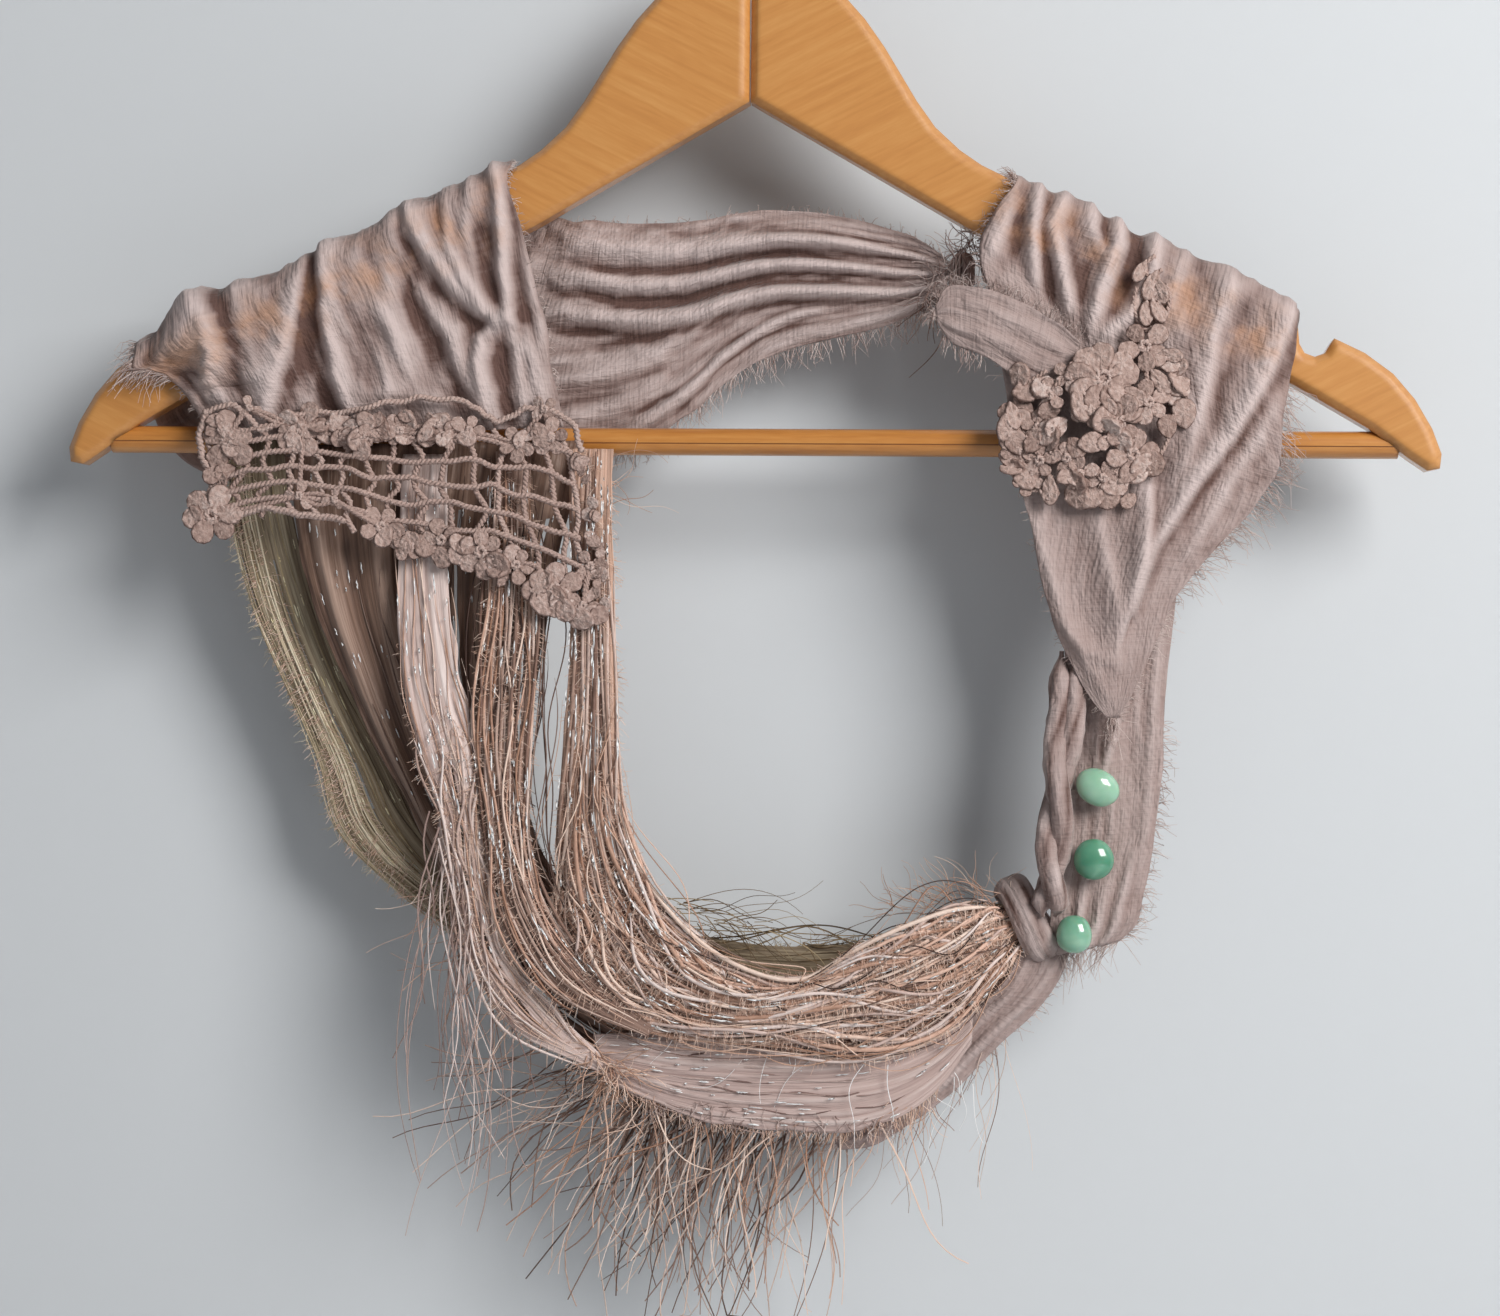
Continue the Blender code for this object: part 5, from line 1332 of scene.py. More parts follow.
@dataclass
class TornStrips:
    """Torn strips, loose warp threads and metallic tapes that lie over the ribbons."""

    cloths: dict[str, Cloth]
    frays: tuple[tuple[str, int, Span, int, Span, Finish], ...] = (
        ("olive", 1, (0.6, 8), 420, (1.5, 5), PALE_GOLD), ("olive", 0, (8, 12), 120, (1.5, 5), OLIVE_THREAD),
        ("mauve", 1, (0.3, 6), 200, (1.5, 4), PEACH), ("swag", 0, (0.5, 12), 260, (1, 3.5), PEACH),
        ("satin", 1, (2.5, 8.5), 150, (1, 3), PEACH), ("taupe", 0, (0.5, 9), 160, (1, 3), BROWN),
    )

    def build(self) -> dict[str, list[Piece]]:
        """All strips and threads, grouped by the ribbon that carries them.

        Returns:
            The pieces for each ribbon.
        """
        made: dict[str, list[Piece]] = {name: [] for name in self.cloths}
        for trail in TRAILS:
            slot, parts = RIBBON_SLOTS[trail.ribbon], made[trail.ribbon]
            steps = 40 if trail.length[1] > 1 else 5
            paths = self.cloths[trail.ribbon].trails(trail, steps)
            pick = np.random.default_rng(trail.seed + 300)
            along = np.linspace(0, 1, steps)
            swell = np.sqrt(np.clip(np.sin(np.pi * np.clip(along, 0.01, 0.99)) * 3, 0.1, 1))
            radii = trail.half_width * pick.uniform(0.6, 1.25, (trail.count, 1)) * swell
            sides, kind = (5, "strips") if trail.lash else (3, "threads")
            skin = tubes(paths, radii, pick.uniform(0, 1, trail.count), sides, trail.flat)
            name = f"{trail.ribbon}_{kind}_{trail.seed}"
            parts.append(dress(skin.object(name), trail.finish))
            if trail.lash:
                ends = lashes(paths, trail.half_width, trail.lash, (1.0, 3.2), 0.12, trail.seed + 600)
                parts.append(dress(ends.object(f"{name}_lashes"), PEACH))
        for number, (ribbon, edge, rows, count, length, finish) in enumerate(self.frays):
            hairs = self.cloths[ribbon].fray(count, edge, rows, length, 0.13, 500 + number)
            fuzz = hairs.object(f"{ribbon}_edge_{edge}_fuzz")
            made[ribbon].append(dress(fuzz, finish))
        return made


@dataclass(frozen=True)
class Spray:
    """Loose threads that leave a line: its ends in x and z, its depths, how many, their directions in
    degrees from straight down (below 0 to the left), their lengths, and how far they curl."""

    name: str
    x0: float
    z0: float
    x1: float
    z1: float
    depths: Span
    count: int
    angles: Span
    lengths: Span
    curl: float
    radius: float
    finish: Finish = FRINGE
    slot: Slot = Slot.THREAD
    nodes: tuple[str, ...] = ()

    @property
    def steps(self) -> int:
        """Points along each thread."""
        return 15 if self.lengths[1] > 20 else 8


# Every spray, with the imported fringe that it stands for.
SPRAYS = (
    Spray("fringe_fall_threads", -30, -205, 34, -216, (0, 6), 130, (-48, 2), (32, 86), 0.4, 0.4, FRINGE,
      Slot.THREAD, ("fringe_fall",)),
    Spray("fringe_sweep_threads", -46, -196, 30, -216, (1, 8), 84, (-94, -48), (30, 90), 0.8, 0.36, FRINGE,
      Slot.THREAD, ("fringe_sweep",)),
    Spray("fringe_pale_threads", -44, -200, 56, -214, (-8, 3), 54, (-54, 8), (20, 72), 0.5, 0.38, PEACH),
    Spray("fringe_hem_fuzz", -42, -208, 62, -214, (-9, -5), 180, (-60, 30), (3, 13), 0.6, 0.17, PEACH),
    Spray("fringe_right_threads", 46, -216, 84, -184, (-2, 5), 26, (-16, 14), (14, 56), 0.5, 0.2, FRINGE,
      Slot.THREAD, ("fringe_right",)),
    Spray("fringe_left_threads", -100, -116, -84, -150, (-14, -9), 36, (-4, 6), (50, 115), 0.2, 0.32,
      MAUVE_THREAD, Slot.THREAD, ("fringe_left",)),
    Spray("fringe_shoulder_threads", -98, -140, -62, -190, (-10, 0), 54, (-60, -8), (8, 34), 0.8, 0.2,
      PEACH),
    Spray("knot_frizz", 46, -152, 86, -146, (-9, 2), 70, (-190, -70), (4, 18), 0.8, 0.17, PEACH, Slot.PINK),
    Spray("olive_loose_ends", -34, -150, 26, -164, (0, 10), 44, (40, 112), (14, 46), 0.6, 0.2,
      OLIVE_THREAD, Slot.OLIVE),
    Spray("lace_side_threads", -50, -8, -44, -22, (-10, -6), 9, (70, 125), (10, 28), 0.8, 0.14, PEACH,
      Slot.PINK),
    Spray("tie_frayed_ends", 56, 46, 74, 68, (-1, 9), 170, (-200, 160), (4, 12), 0.9, 0.2, GAUZE_HAIR,
      Slot.GAUZE),
    Spray("tie_hanging_ends", 58, 50, 63, 46, (2, 6), 7, (-30, 8), (14, 25), 0.7, 0.28),
    Spray("silver_strays", -70, -170, 78, -205, (-12, -4), 44, (-70, 40), (6, 34), 0.6, 0.17, SILVER_PAINTED_GLINT,
      Slot.PINK),
    Spray("satin_end_tuft", -49, -196, -37, -206, (-13, -10), 90, (-150, 120), (4, 15), 0.9, 0.2, PEACH,
      Slot.PINK),
    Spray("mauve_hem_fuzz", -30, -214, 50, -219, (-10, -8), 190, (-80, 60), (2, 8), 0.9, 0.15,
      MAUVE_THREAD, Slot.PINK),
)


@dataclass
class LooseThreads:
    """Frayed threads that hang and fly off: the fringe under the swag and the strays round it."""

    def paths(self, spray: Spray, seed: int) -> Array:
        """Each thread leaves at its angle, bends towards straight down with its length squared, and
        waves by two slow sines."""
        pick = np.random.default_rng(seed)
        share, depth = pick.random(spray.count), pick.uniform(*spray.depths, spray.count)
        start = np.stack([
            spray.x0 + (spray.x1 - spray.x0) * share, depth,
            spray.z0 + (spray.z1 - spray.z0) * share + pick.normal(0, 1.5, spray.count),
        ], axis=1)
        angle = np.radians(pick.uniform(*spray.angles, spray.count))[:, None]
        reach = pick.uniform(*spray.lengths, spray.count)[:, None]
        steps = spray.steps
        run = np.linspace(0, 1, steps)[None]
        bend = spray.curl * pick.normal(0, 0.8, (spray.count, 1))
        turned = angle * (1 - 0.45 * run * np.minimum(reach / 40, 1)) + bend * run
        speed, phase = pick.uniform(2, 9, (spray.count, 1)), pick.uniform(0, 6.3, (spray.count, 1))
        wave = 0.28 * np.sin(run * speed + phase)
        stride = reach / (steps - 1)
        x = np.cumsum(np.sin(turned + wave) * stride, axis=1)
        z = -np.cumsum(np.cos(turned + wave) * stride, axis=1)
        y = reach * 0.10 * np.sin(run * 3 + pick.uniform(0, 6.3, (spray.count, 1))) * run
        paths = start[:, None] + np.stack([x, y, z], axis=-1)
        paths[..., 1] = np.clip(paths[..., 1], -26, 16)
        paths[..., 2] = np.maximum(paths[..., 2], -286 - 2 * np.sin(9 * share)[:, None])
        return paths

    def build(self) -> list[Piece]:
        """Every spray as a piece."""
        made = []
        for number, spray in enumerate(SPRAYS):
            pick = np.random.default_rng(number + 900)
            paths = self.paths(spray, number + 800)
            taper = 1 - 0.45 * np.linspace(0, 1, spray.steps)
            radii = spray.radius * pick.uniform(0.7, 1.3, (spray.count, 1)) * taper
            skin = tubes(paths, radii, pick.uniform(0, 1, spray.count))
            made.append(dress(skin.object(spray.name), spray.finish, spray.nodes))
        return made


class Hanger:
    """The wooden hanger: two mitred arms, a round bar and a wire hook, as packed."""

    def build(self, nodes: dict[str, Piece]) -> None:
        """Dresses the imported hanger.

        Args:
            nodes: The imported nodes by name.
        """
        slope = math.atan(ARM_SLOPE)
        finishes = {
            "hanger_arm_left": BeechFinish("lacquered_beech_left_arm", -slope),
            "hanger_arm_right": BeechFinish("lacquered_beech_right_arm", slope),
            "hanger_bar": BeechFinish("lacquered_beech_bar", 0.0, "#ad6c2e", "#c5833d", "#d39650", "#7d4a1f"),
            "hanger_hook": SteelFinish("zinc_plated_wire"),
        }
        for name, finish in finishes.items():
            nodes[name].data.materials.clear()
            nodes[name].data.materials.append(finish.material())
            log.info("%s: packed node with %s", name, finish.name)


@dataclass(frozen=True)
class Bead:
    """A bead: its middle, its half sizes, and the lean of its long side in degrees."""

    x: float
    y: float
    z: float
    half_width: float
    half_depth: float
    half_height: float
    lean: float


@dataclass
class Beads:
    """The three oval jade beads, tumbled to slightly uneven ovals."""

    beads: tuple[Bead, ...] = (
        Bead(113.6, -11.6, -110.5, 6.9, 4.4, 5.8, -28), Bead(112.6, -11.6, -133.5, 6.1, 4.4, 6.6, 8),
        Bead(106.6, -10.3, -157.6, 5.6, 4.4, 6.1, 0),
    )
    finishes: tuple[Finish, ...] = (
        JadeFinish("pale_green_jade", "#8ebfa2", "#a0ccb2", "#b8dcc6"),
        JadeFinish("deep_green_jade", "#4d8f72", "#629f82", "#80b69b"),
        JadeFinish("mid_green_jade", "#70a98c", "#86ba9f", "#a0cdb5"),
    )

    def skin(self, bead: Bead, seed: int) -> Skin:
        """One bead: a super-ellipsoid, its radius swelled a little by slow noise over the two angles."""
        rings, sides = 25, 36
        heights, turns = np.linspace(-np.pi / 2, np.pi / 2, rings), np.linspace(0, 2 * np.pi, sides + 1)[:-1]
        up, round_ = np.meshgrid(heights, turns, indexing="ij")
        swell = 1 + 0.035 * np.sin(2 * round_ + seed) * np.cos(up) ** 2 + 0.03 * np.sin(3 * up + seed)
        side = np.cos(up) ** 0.88 * swell
        x, y = bead.half_width * side * np.cos(round_), bead.half_depth * side * np.sin(round_)
        z = bead.half_height * np.sign(np.sin(up)) * np.abs(np.sin(up)) ** 0.92
        a = math.radians(bead.lean)
        turned = np.stack([x * math.cos(a) - z * math.sin(a), y, x * math.sin(a) + z * math.cos(a)], axis=-1)
        points = (turned + (bead.x, bead.y, bead.z)).reshape(-1, 3)
        return Skin(points, quads(rings, sides, True).reshape(-1, 4))

    def build(self) -> None:
        """The three beads, closed at their poles."""
        for number, bead in enumerate(self.beads, start=1):
            made = self.skin(bead, number).object(f"bead_{number}_jade")
            close_poles(made)
            dress(made, self.finishes[number - 1], [f"jade_bead_{number}"])


def close_poles(made: Piece) -> None:
    """Merges doubled vertices at poles and seams, and turns the faces outward.

    Args:
        made: A piece whose mesh is one closed form.
    """
    work = bmesh.new()
    work.from_mesh(made.data)
    bmesh.ops.remove_doubles(work, verts=work.verts, dist=1e-6)
    bmesh.ops.recalc_face_normals(work, faces=work.faces)
    work.to_mesh(made.data)
    work.free()


@dataclass
class Bindings:
    """What holds the cloth: the braid beside the tail, the gauze knot, and the wound tie."""

    strand_radius: float = 3.9
    twist_radius: float = 2.5
    turns: float = 1.1
    knot_centre: tuple[float, float, float] = (92.0, 0.0, -153.0)
    knot_half: tuple[float, float, float] = (11.8, 9.0, 5.2)
    knot_lean: float = 30.5
    tie_centre: tuple[float, float, float] = (69.2, 5.0, 56.0)
    tie_half: tuple[float, float, float] = (4.2, 5.4, 6.8)

    def rolled(self, path: Array, radius: Array, ribs: int, twist: float, seed: int) -> Skin:
        """A rolled strip of gauze along a path: a tube whose radius has rounded pleats that wind round.

        Args:
            path: Points in millimetres.
            radius: Radius at each point.
            ribs: Pleats round the tube.
            twist: Turns of the pleats along the path.
            seed: Which small creases.

        Returns:
            The skin with UVs and depth.
        """
        sides, steps = 32, len(path)
        plain = tubes(path[None], np.ones((1, steps)), np.zeros(1), sides).points.reshape(steps, sides, 3)
        along, around = np.meshgrid(np.linspace(0, 1, steps), np.arange(sides) / sides, indexing="ij")
        pleat = np.abs(np.sin(np.pi * ribs * around + np.pi * twist * along * ribs))
        pleat = pleat * (0.55 + 0.45 * lattice_noise(np.abs(around - 0.5) * 6, along * 9, seed + 5))
        small = lattice_noise(np.abs(around - 0.5) * 18, along * 26, seed)
        size = radius[:, None] * (0.86 + 0.2 * pleat + 0.09 * small)
        points = path[:, None] + (plain - path[:, None]) * size[..., None]
        faces = repeated(quads(steps, sides, True), 1, steps * sides)
        uv = np.stack([around * 20, along * 90], axis=-1).reshape(-1, 2)
        # Painted shade and light: the depth value is high on the pleats' crests and low in their hollows, and
        # the gauze finish paints it paler or darker.
        return Skin(points.reshape(-1, 3), faces, uv, {"depth": np.clip(pleat * 0.8 + 0.1, 0, 1).ravel()})

    def build(self) -> None:
        """Braid, knot and tie."""
        along = np.linspace(0, 1, 100)
        line = smooth_table(BRAID_LINE, along * (len(BRAID_LINE) - 1))
        turned = np.clip((along - 0.3) / 0.7, 0, 1)
        for strand in range(2):
            angle = 2 * np.pi * (self.turns * turned + strand / 2)
            ring = np.stack([np.cos(angle), np.sin(angle) - 0.5, 0 * angle], axis=1)
            path = line + self.twist_radius * ring
            taper = self.strand_radius * np.clip(np.sin(np.pi * np.clip(along, 0.004, 0.996)) * 4, 0.2, 1)
            skin = self.rolled(path, taper, 3, 0.9, 60 + strand)
            made = skin.object(f"braid_strand_{strand + 1}_rolled")
            dress(made, GAUZE, [f"braid_strand_{strand + 1}"])
        self.knot()
        self.tie()

    def knot(self) -> None:
        """The wrap: an oval ring whose section is a flat loop with pleats that run round the bundle."""
        steps, sides = 120, 40
        turns = (np.linspace(0, 2 * np.pi, count + 1)[:-1] for count in (steps, sides))
        around, section = np.meshgrid(*turns, indexing="ij")
        seam = np.abs(section - np.pi)
        pleat = np.abs(np.sin(2.5 * section + 1.4 * np.sin(around + 0.5))) * 0.5
        pleat = pleat + 0.45 * (1 - np.abs(lattice_noise(seam * 1.6, np.abs(around - np.pi) * 1.1, 71)))
        bulge = 0.25 * (1 + 0.3 * pleat * np.cos(section) + 0.12 * np.sin(around + 1))
        radius = 1 + bulge * np.cos(section)
        along = (1 + 0.10 * pleat) * np.sin(section)
        x = self.knot_half[0] * radius * np.cos(around)
        y = self.knot_half[1] * radius * np.sin(around)
        z = self.knot_half[2] * along + 0.8 * np.sin(2 * around)
        a = math.radians(90 - self.knot_lean)
        turned = np.stack([x * math.cos(a) + z * math.sin(a), y, -x * math.sin(a) + z * math.cos(a)], axis=-1)
        points = (turned + self.knot_centre).reshape(-1, 3)
        corner = np.arange(steps * sides).reshape(steps, sides)
        up, on = np.roll(corner, -1, axis=0), np.roll(corner, -1, axis=1)
        faces = np.stack([corner, up, np.roll(up, -1, axis=1), on], axis=-1).reshape(-1, 4)
        uv = np.stack([section * 6, around * 11], axis=-1).reshape(-1, 2)
        # Painted shade and light: the depth value is high on the pleats' crests and low in their hollows, and
        # the gauze finish paints it paler or darker.
        depth = np.clip(0.9 * pleat - 0.1, 0, 1).ravel()
        made = Skin(points, faces, uv, {"depth": depth}).object("knot_wrap")
        close_poles(made)
        dress(made, GAUZE, ["knot_ring"])

    def tie(self) -> None:
        """Thread wound round the gathered gauze: one long coil in three layers over an oval core."""
        steps, rounds = 900, 26
        along = np.linspace(0, 1, steps)
        angle = 2 * np.pi * rounds * along
        sweep = np.sin(2 * np.pi * 1.5 * along)
        shrink = np.sqrt(np.clip(1 - (0.82 * sweep) ** 2, 0, 1))
        x = self.tie_half[0] * 0.86 * sweep
        y = self.tie_half[1] * 0.92 * shrink * np.cos(angle)
        z = self.tie_half[2] * 0.94 * shrink * np.sin(angle)
        path = np.stack([x, y, z], axis=1) + self.tie_centre
        coil = tubes(path[None], np.full((1, steps), 0.36), np.array([0.45]), 5)
        made = coil.object("tie_wound_thread")
        dress(made, MAUVE_THREAD, ["tie_binding"])


@dataclass(frozen=True)
class Motif:
    """A crochet flower: its middle, its radius, and how many petals it has."""

    x: float
    z: float
    radius: float
    petals: int


def laid(flat: Array, surface: Any, lift: Array | float) -> Array:
    """Rows of x and z laid on a surface that gives its depth for them, and lifted to its front."""
    x, z = flat[:, 0], flat[:, 1]
    return np.stack([x, surface(x, z) - lift, z], axis=1)


@dataclass
class Lacework:
    """Crochet cotton worked into cords and petal pads, shared by the band, the rosette and the scrap."""

    cord: float = 1.05
    pitch: float = 3.0

    def yarn(self, points: Any, radius: float, tone: float = 0.5) -> Skin:
        """A two-ply cord: two round plies that wind round a smooth path, half a turn apart.

        Args:
            points: Points that the path goes through, in millimetres.
            radius: Radius of the cord.
            tone: Its shade, from 0 to 1.

        Returns:
            The plies.
        """
        rough = smooth_table(points, np.linspace(0, len(points) - 1, 12 * len(points)))
        reach = np.concatenate([[0.0], np.cumsum(np.linalg.norm(np.diff(rough, axis=0), axis=1))])
        steps = max(int(reach[-1] / 0.75), 6)
        at = np.linspace(0, reach[-1], steps)
        path = np.stack([np.interp(at, reach, rough[:, k]) for k in range(3)], axis=1)
        run = unit(np.gradient(path, axis=0))
        side = unit(np.cross(run, (0.3, 1.0, 0.2)))
        out = np.cross(side, run)
        turn = 2 * np.pi * at / self.pitch
        wave = np.stack([turn, turn + np.pi])[..., None]
        plies = path + 0.52 * radius * (side * np.cos(wave) + out * np.sin(wave))
        return tubes(plies, np.full((2, steps), 0.6 * radius), np.full(2, tone), 4)

    def petals(self, roots: Array, heads: Array, normals: Array, width: float, tones: Array) -> Skin:
        """Leaf-shaped pads, each a closed form in polar rings about its middle: its outline is
        (1 − cos a) / 2 along by sin a · (0.45 + 0.55 · sin ½a) across, its edge stands up as a cord,
        stitches run out from its middle, and the back is flat.

        Args:
            roots: Where each petal starts, in millimetres.
            heads: Where each petal ends.
            normals: Where each petal faces.
            width: Width as a share of its length.
            tones: A shade for each petal.

        Returns:
            The pads.
        """
        rings, sides = np.array([0, 0.35, 0.62, 0.78, 0.9, 1.0, 0.0]), 12
        back = np.arange(len(rings)) > 5
        a = np.linspace(0, 2 * np.pi, sides + 1)[:-1]
        along = (1 - np.cos(a)) / 2
        across = np.sin(a) * (0.45 + 0.55 * np.sin(a / 2)) * width / 2
        ring, turn = rings[:, None], a[None, :]
        edge = np.exp(-(((ring - 0.86) / 0.12) ** 2))
        stitch = np.cos(sides / 2 * turn) * np.clip(3 * ring, 0, 1)
        high = 0.13 * (1 - ring**2) + 0.07 * edge * (1 + 0.7 * stitch) + 0.03 * stitch * (1 - ring**4)
        high = np.where(back[:, None], -0.05, np.where(ring >= 1.0, 0.0, high))
        axis, size = heads - roots, np.linalg.norm(heads - roots, axis=1)
        forward = unit(axis)
        right = unit(np.cross(forward, normals))
        facing = np.cross(right, forward)
        part = 0.58 + ring * (along - 0.58)
        shape = [part, ring * across, high]
        points = sum(
            (size[:, None, None, None] * value[None, ..., None]) * basis[:, None, None]
            for value, basis in zip(shape, (forward, right, facing))
        )
        points = points + roots[:, None, None]
        faces = repeated(quads(len(rings), sides, True), len(roots), len(rings) * sides)
        # Painted shade and light: each pad's tone drops where it lies low, at its rim and flat back, and
        # rises on its raised middle and edge cord.
        shade = tones[:, None, None] + 3.0 * (high - 0.12)[None]
        return Skin(points.reshape(-1, 3), faces, None, {"tone": np.clip(shade, 0, 1).ravel()})

    def scatter(
        self, line: Any, count: int, spread: float, size: Span, surface: Any, seed: int
    ) -> Skin:
        """Small crochet pads strewn along a line.

        Args:
            line: Points that the line goes through, as x and z.
            count: Number of pads.
            spread: How far they stray from the line, in millimetres.
            size: Shortest and longest pad.
            surface: Gives the depth of the surface at arrays of x and z.
            seed: How they lie.

        Returns:
            The pads.
        """
        pick = np.random.default_rng(seed)
        middle = smooth_table(line, pick.uniform(0, len(line) - 1, count))
        middle = middle + pick.normal(0, spread, (count, 2))
        turn, reach = pick.uniform(0, 2 * np.pi, count), pick.uniform(*size, count) / 2
        ray = reach[:, None] * np.stack([np.cos(turn), 0.2 * np.sin(3 * turn), np.sin(turn)], axis=1)
        centre = laid(middle, surface, pick.uniform(0.0, 1.3, count))
        normals = unit(FRONT + pick.normal(0, 0.35, (count, 3)))
        return self.petals(centre - ray, centre + ray, normals, 0.95, 0.5 + pick.normal(0, 0.12, count))

    def flowers(self, motifs: Sequence[Motif], surface: Any, seed: int) -> list[Skin]:
        """Crochet flowers laid on a surface, and the cords that join each to its two nearest.

        Args:
            motifs: The flowers.
            surface: Gives the depth of the surface at arrays of x and z.
            seed: How they are turned and tipped.

        Returns:
            The skins of petals, knobs and cords.
        """
        pick = np.random.default_rng(seed)
        petals, skins = [], []
        around = np.linspace(0, 2 * np.pi, 9)
        circle = np.stack([np.cos(around), np.sin(around)], axis=1)
        for motif in motifs:
            turn = pick.uniform(0, 2 * np.pi) + np.arange(motif.petals) * 2 * np.pi / motif.petals
            turn = turn + pick.normal(0, 0.1, motif.petals)
            ray = np.stack([np.cos(turn), np.sin(turn)], axis=1)
            middle = np.array([motif.x, motif.z])
            reach = motif.radius * pick.uniform(1.0, 1.3, (motif.petals, 1))
            root = laid(middle + ray * 0.16 * motif.radius, surface, 0.7)
            head = laid(middle + ray * reach, surface, pick.uniform(0.1, 1.0, motif.petals))
            normals = unit(FRONT + pick.normal(0, 0.22, (motif.petals, 3)))
            petals.append((root, head, normals, 0.5 + pick.normal(0, 0.09, motif.petals)))
            ring = laid(middle + 0.2 * motif.radius * circle, surface, 1.3)
            skins.append(self.yarn(ring, self.cord * 0.9, 0.6))
        *ends, tones = (np.concatenate(part) for part in zip(*petals))
        skins.append(self.petals(*ends, 1.0, tones))
        centres = np.array([[motif.x, motif.z] for motif in motifs])
        gaps = np.linalg.norm(centres[:, None] - centres[None], axis=2)
        for number, near in enumerate(np.argsort(gaps, axis=1)[:, 1:3]):
            for other in near[(near > number) | (gaps[number, near] > 9)]:
                share = np.linspace(0, 1, 6)[:, None]
                line = centres[number] + (centres[other] - centres[number]) * share
                line[:, 1] += 1.4 * np.sin(np.pi * share[:, 0]) * pick.normal()
                skins.append(self.yarn(laid(line, surface, 0.6), self.cord * 0.85, 0.42))
        return skins


# Flowers of the crochet band.
BAND_FLOWERS = (
    Motif(-167.2, -1.1, 8.3, 5), Motif(-172.5, -25.4, 8.3, 6), Motif(-142.8, 2.2, 7.7, 5),
    Motif(-123.5, 1, 7, 4), Motif(-111.2, 2, 4.8, 5), Motif(-99.2, 4.3, 4.8, 4), Motif(-88.8, 2.1, 4.8, 5),
    Motif(-72.9, -1.7, 5.4, 5), Motif(-62.6, 0.3, 5.8, 5), Motif(-64.6, 9.3, 4.2, 4),
    Motif(-117.1, -28.9, 6.4, 5), Motif(-108.6, -35, 4.5, 5), Motif(-97.6, -33, 6.1, 5),
    Motif(-84.6, -36.8, 7.4, 6), Motif(-73.2, -40.9, 5.4, 5), Motif(-60.3, -48.8, 7.4, 6),
    Motif(-51.5, -53.9, 5.1, 5), Motif(-49.4, -41, 4.8, 4), Motif(-143.6, -19.1, 4.5, 3),
    Motif(-132.1, -20.3, 3.8, 3), Motif(-160.1, 9.2, 3.8, 3),
)
# Cord along the band's top, as x and z.
BAND_TOP = (
    (-174.8, 7.9), (-165, 10.2), (-156.1, 2.1), (-147, 7), (-127.5, 8.1), (-111.3, 11.4), (-93.5, 12.1),
    (-85.3, 8.2), (-78.8, 5.7), (-69.2, 9.6), (-55.6, 4.5), (-53.2, -4.2),
)
# Cord along the band's left end and bottom.
BAND_BOTTOM = (
    (-174.8, 7.9), (-176.3, -4.4), (-172.3, -14.1), (-176.1, -27), (-164, -25.4), (-156.9, -23.4),
    (-150.7, -23.7), (-141.5, -25.5), (-128.8, -27.1),
)
# Where pads crowd on the band: a line, their number, their stray, and their sizes.
BAND_PADS = (
    (((-149, 1), (-140, 2), (-124, 1), (-112, 2), (-99, 3), (-88, 1), (-54, -1)), 52, 2, (5, 9.5)),
    (((-120, -30), (-104, -35), (-90, -37), (-76, -41), (-62, -50), (-49, -57)), 38, 2, (5.5, 10)),
    (((-54, -4), (-51, -15), (-48.5, -28), (-46.5, -40), (-47, -54)), 20, 1.2, (3.5, 6.5)),
    (((-172, 4), (-165, -3), (-168, -16), (-174, -27)), 16, 2.5, (5, 8)),
)


@dataclass
class LaceBand(Lacework):
    """The filet band on the left drape's hem: a net of cords between flowers."""

    columns: int = 15
    lines: tuple[float, ...] = (0.20, 0.34, 0.48, 0.62, 0.76)

    def depth_at(self, x: Array, z: Array) -> Array:
        """Depth of the band, with the crest that it forms where it is pinched near a third of its run."""
        crest = 2.6 * np.exp(-(((x + 122 - 0.12 * z) / 6.5) ** 2)) + 0.9 * np.sin(x / 9.0 + z / 14.0)
        return -16.2 - crest

    def build(self) -> Piece:
        """The band in one piece."""
        cloth = Cloth(CROCHET_COLUMNS)
        pick = np.random.default_rng(5)
        skins = []
        last = len(CROCHET_COLUMNS) - 1
        for row in np.linspace(0.15, last - 0.1, self.columns):
            t = np.linspace(0.12, 0.92, 9)
            lean = np.clip((row - 3) / 5, 0, 1) * 0.55
            rows = np.clip(row + lean * (t - 0.35) + pick.normal(0, 0.11, 9), 0, last)
            path = laid(cloth.points_at(rows, t)[:, ::2], self.depth_at, -0.4)
            skins.append(self.yarn(path, self.cord, 0.48 + 0.1 * pick.uniform(-1, 1)))
        for line in self.lines:
            rows = np.linspace(0.0, last, 30)
            t = line + 0.03 * lattice_noise(rows * 2.3, rows * 0 + line * 40, 6)
            path = laid(cloth.points_at(rows, t)[:, ::2], self.depth_at, 0.3)
            skins.append(self.yarn(path, self.cord, 0.5))
        for outline, radius in ((BAND_TOP, 1.1), (BAND_BOTTOM, 1.3)):
            flat = smooth_table(outline, np.linspace(0, len(outline) - 1, 3 * len(outline)))
            flat = flat + pick.normal(0, 0.35, flat.shape)
            skins.append(self.yarn(laid(flat, self.depth_at, 0.4), radius, 0.55))
        for number, (line, count, spread, size) in enumerate(BAND_PADS):
            skins.append(self.scatter(line, count, spread, size, self.depth_at, 40 + number))
        skins += self.flowers(BAND_FLOWERS, self.depth_at, 12)
        made = joined(skins).object("lace_band_crochet")
        return dress(made, CROCHET, ["crochet_band"])


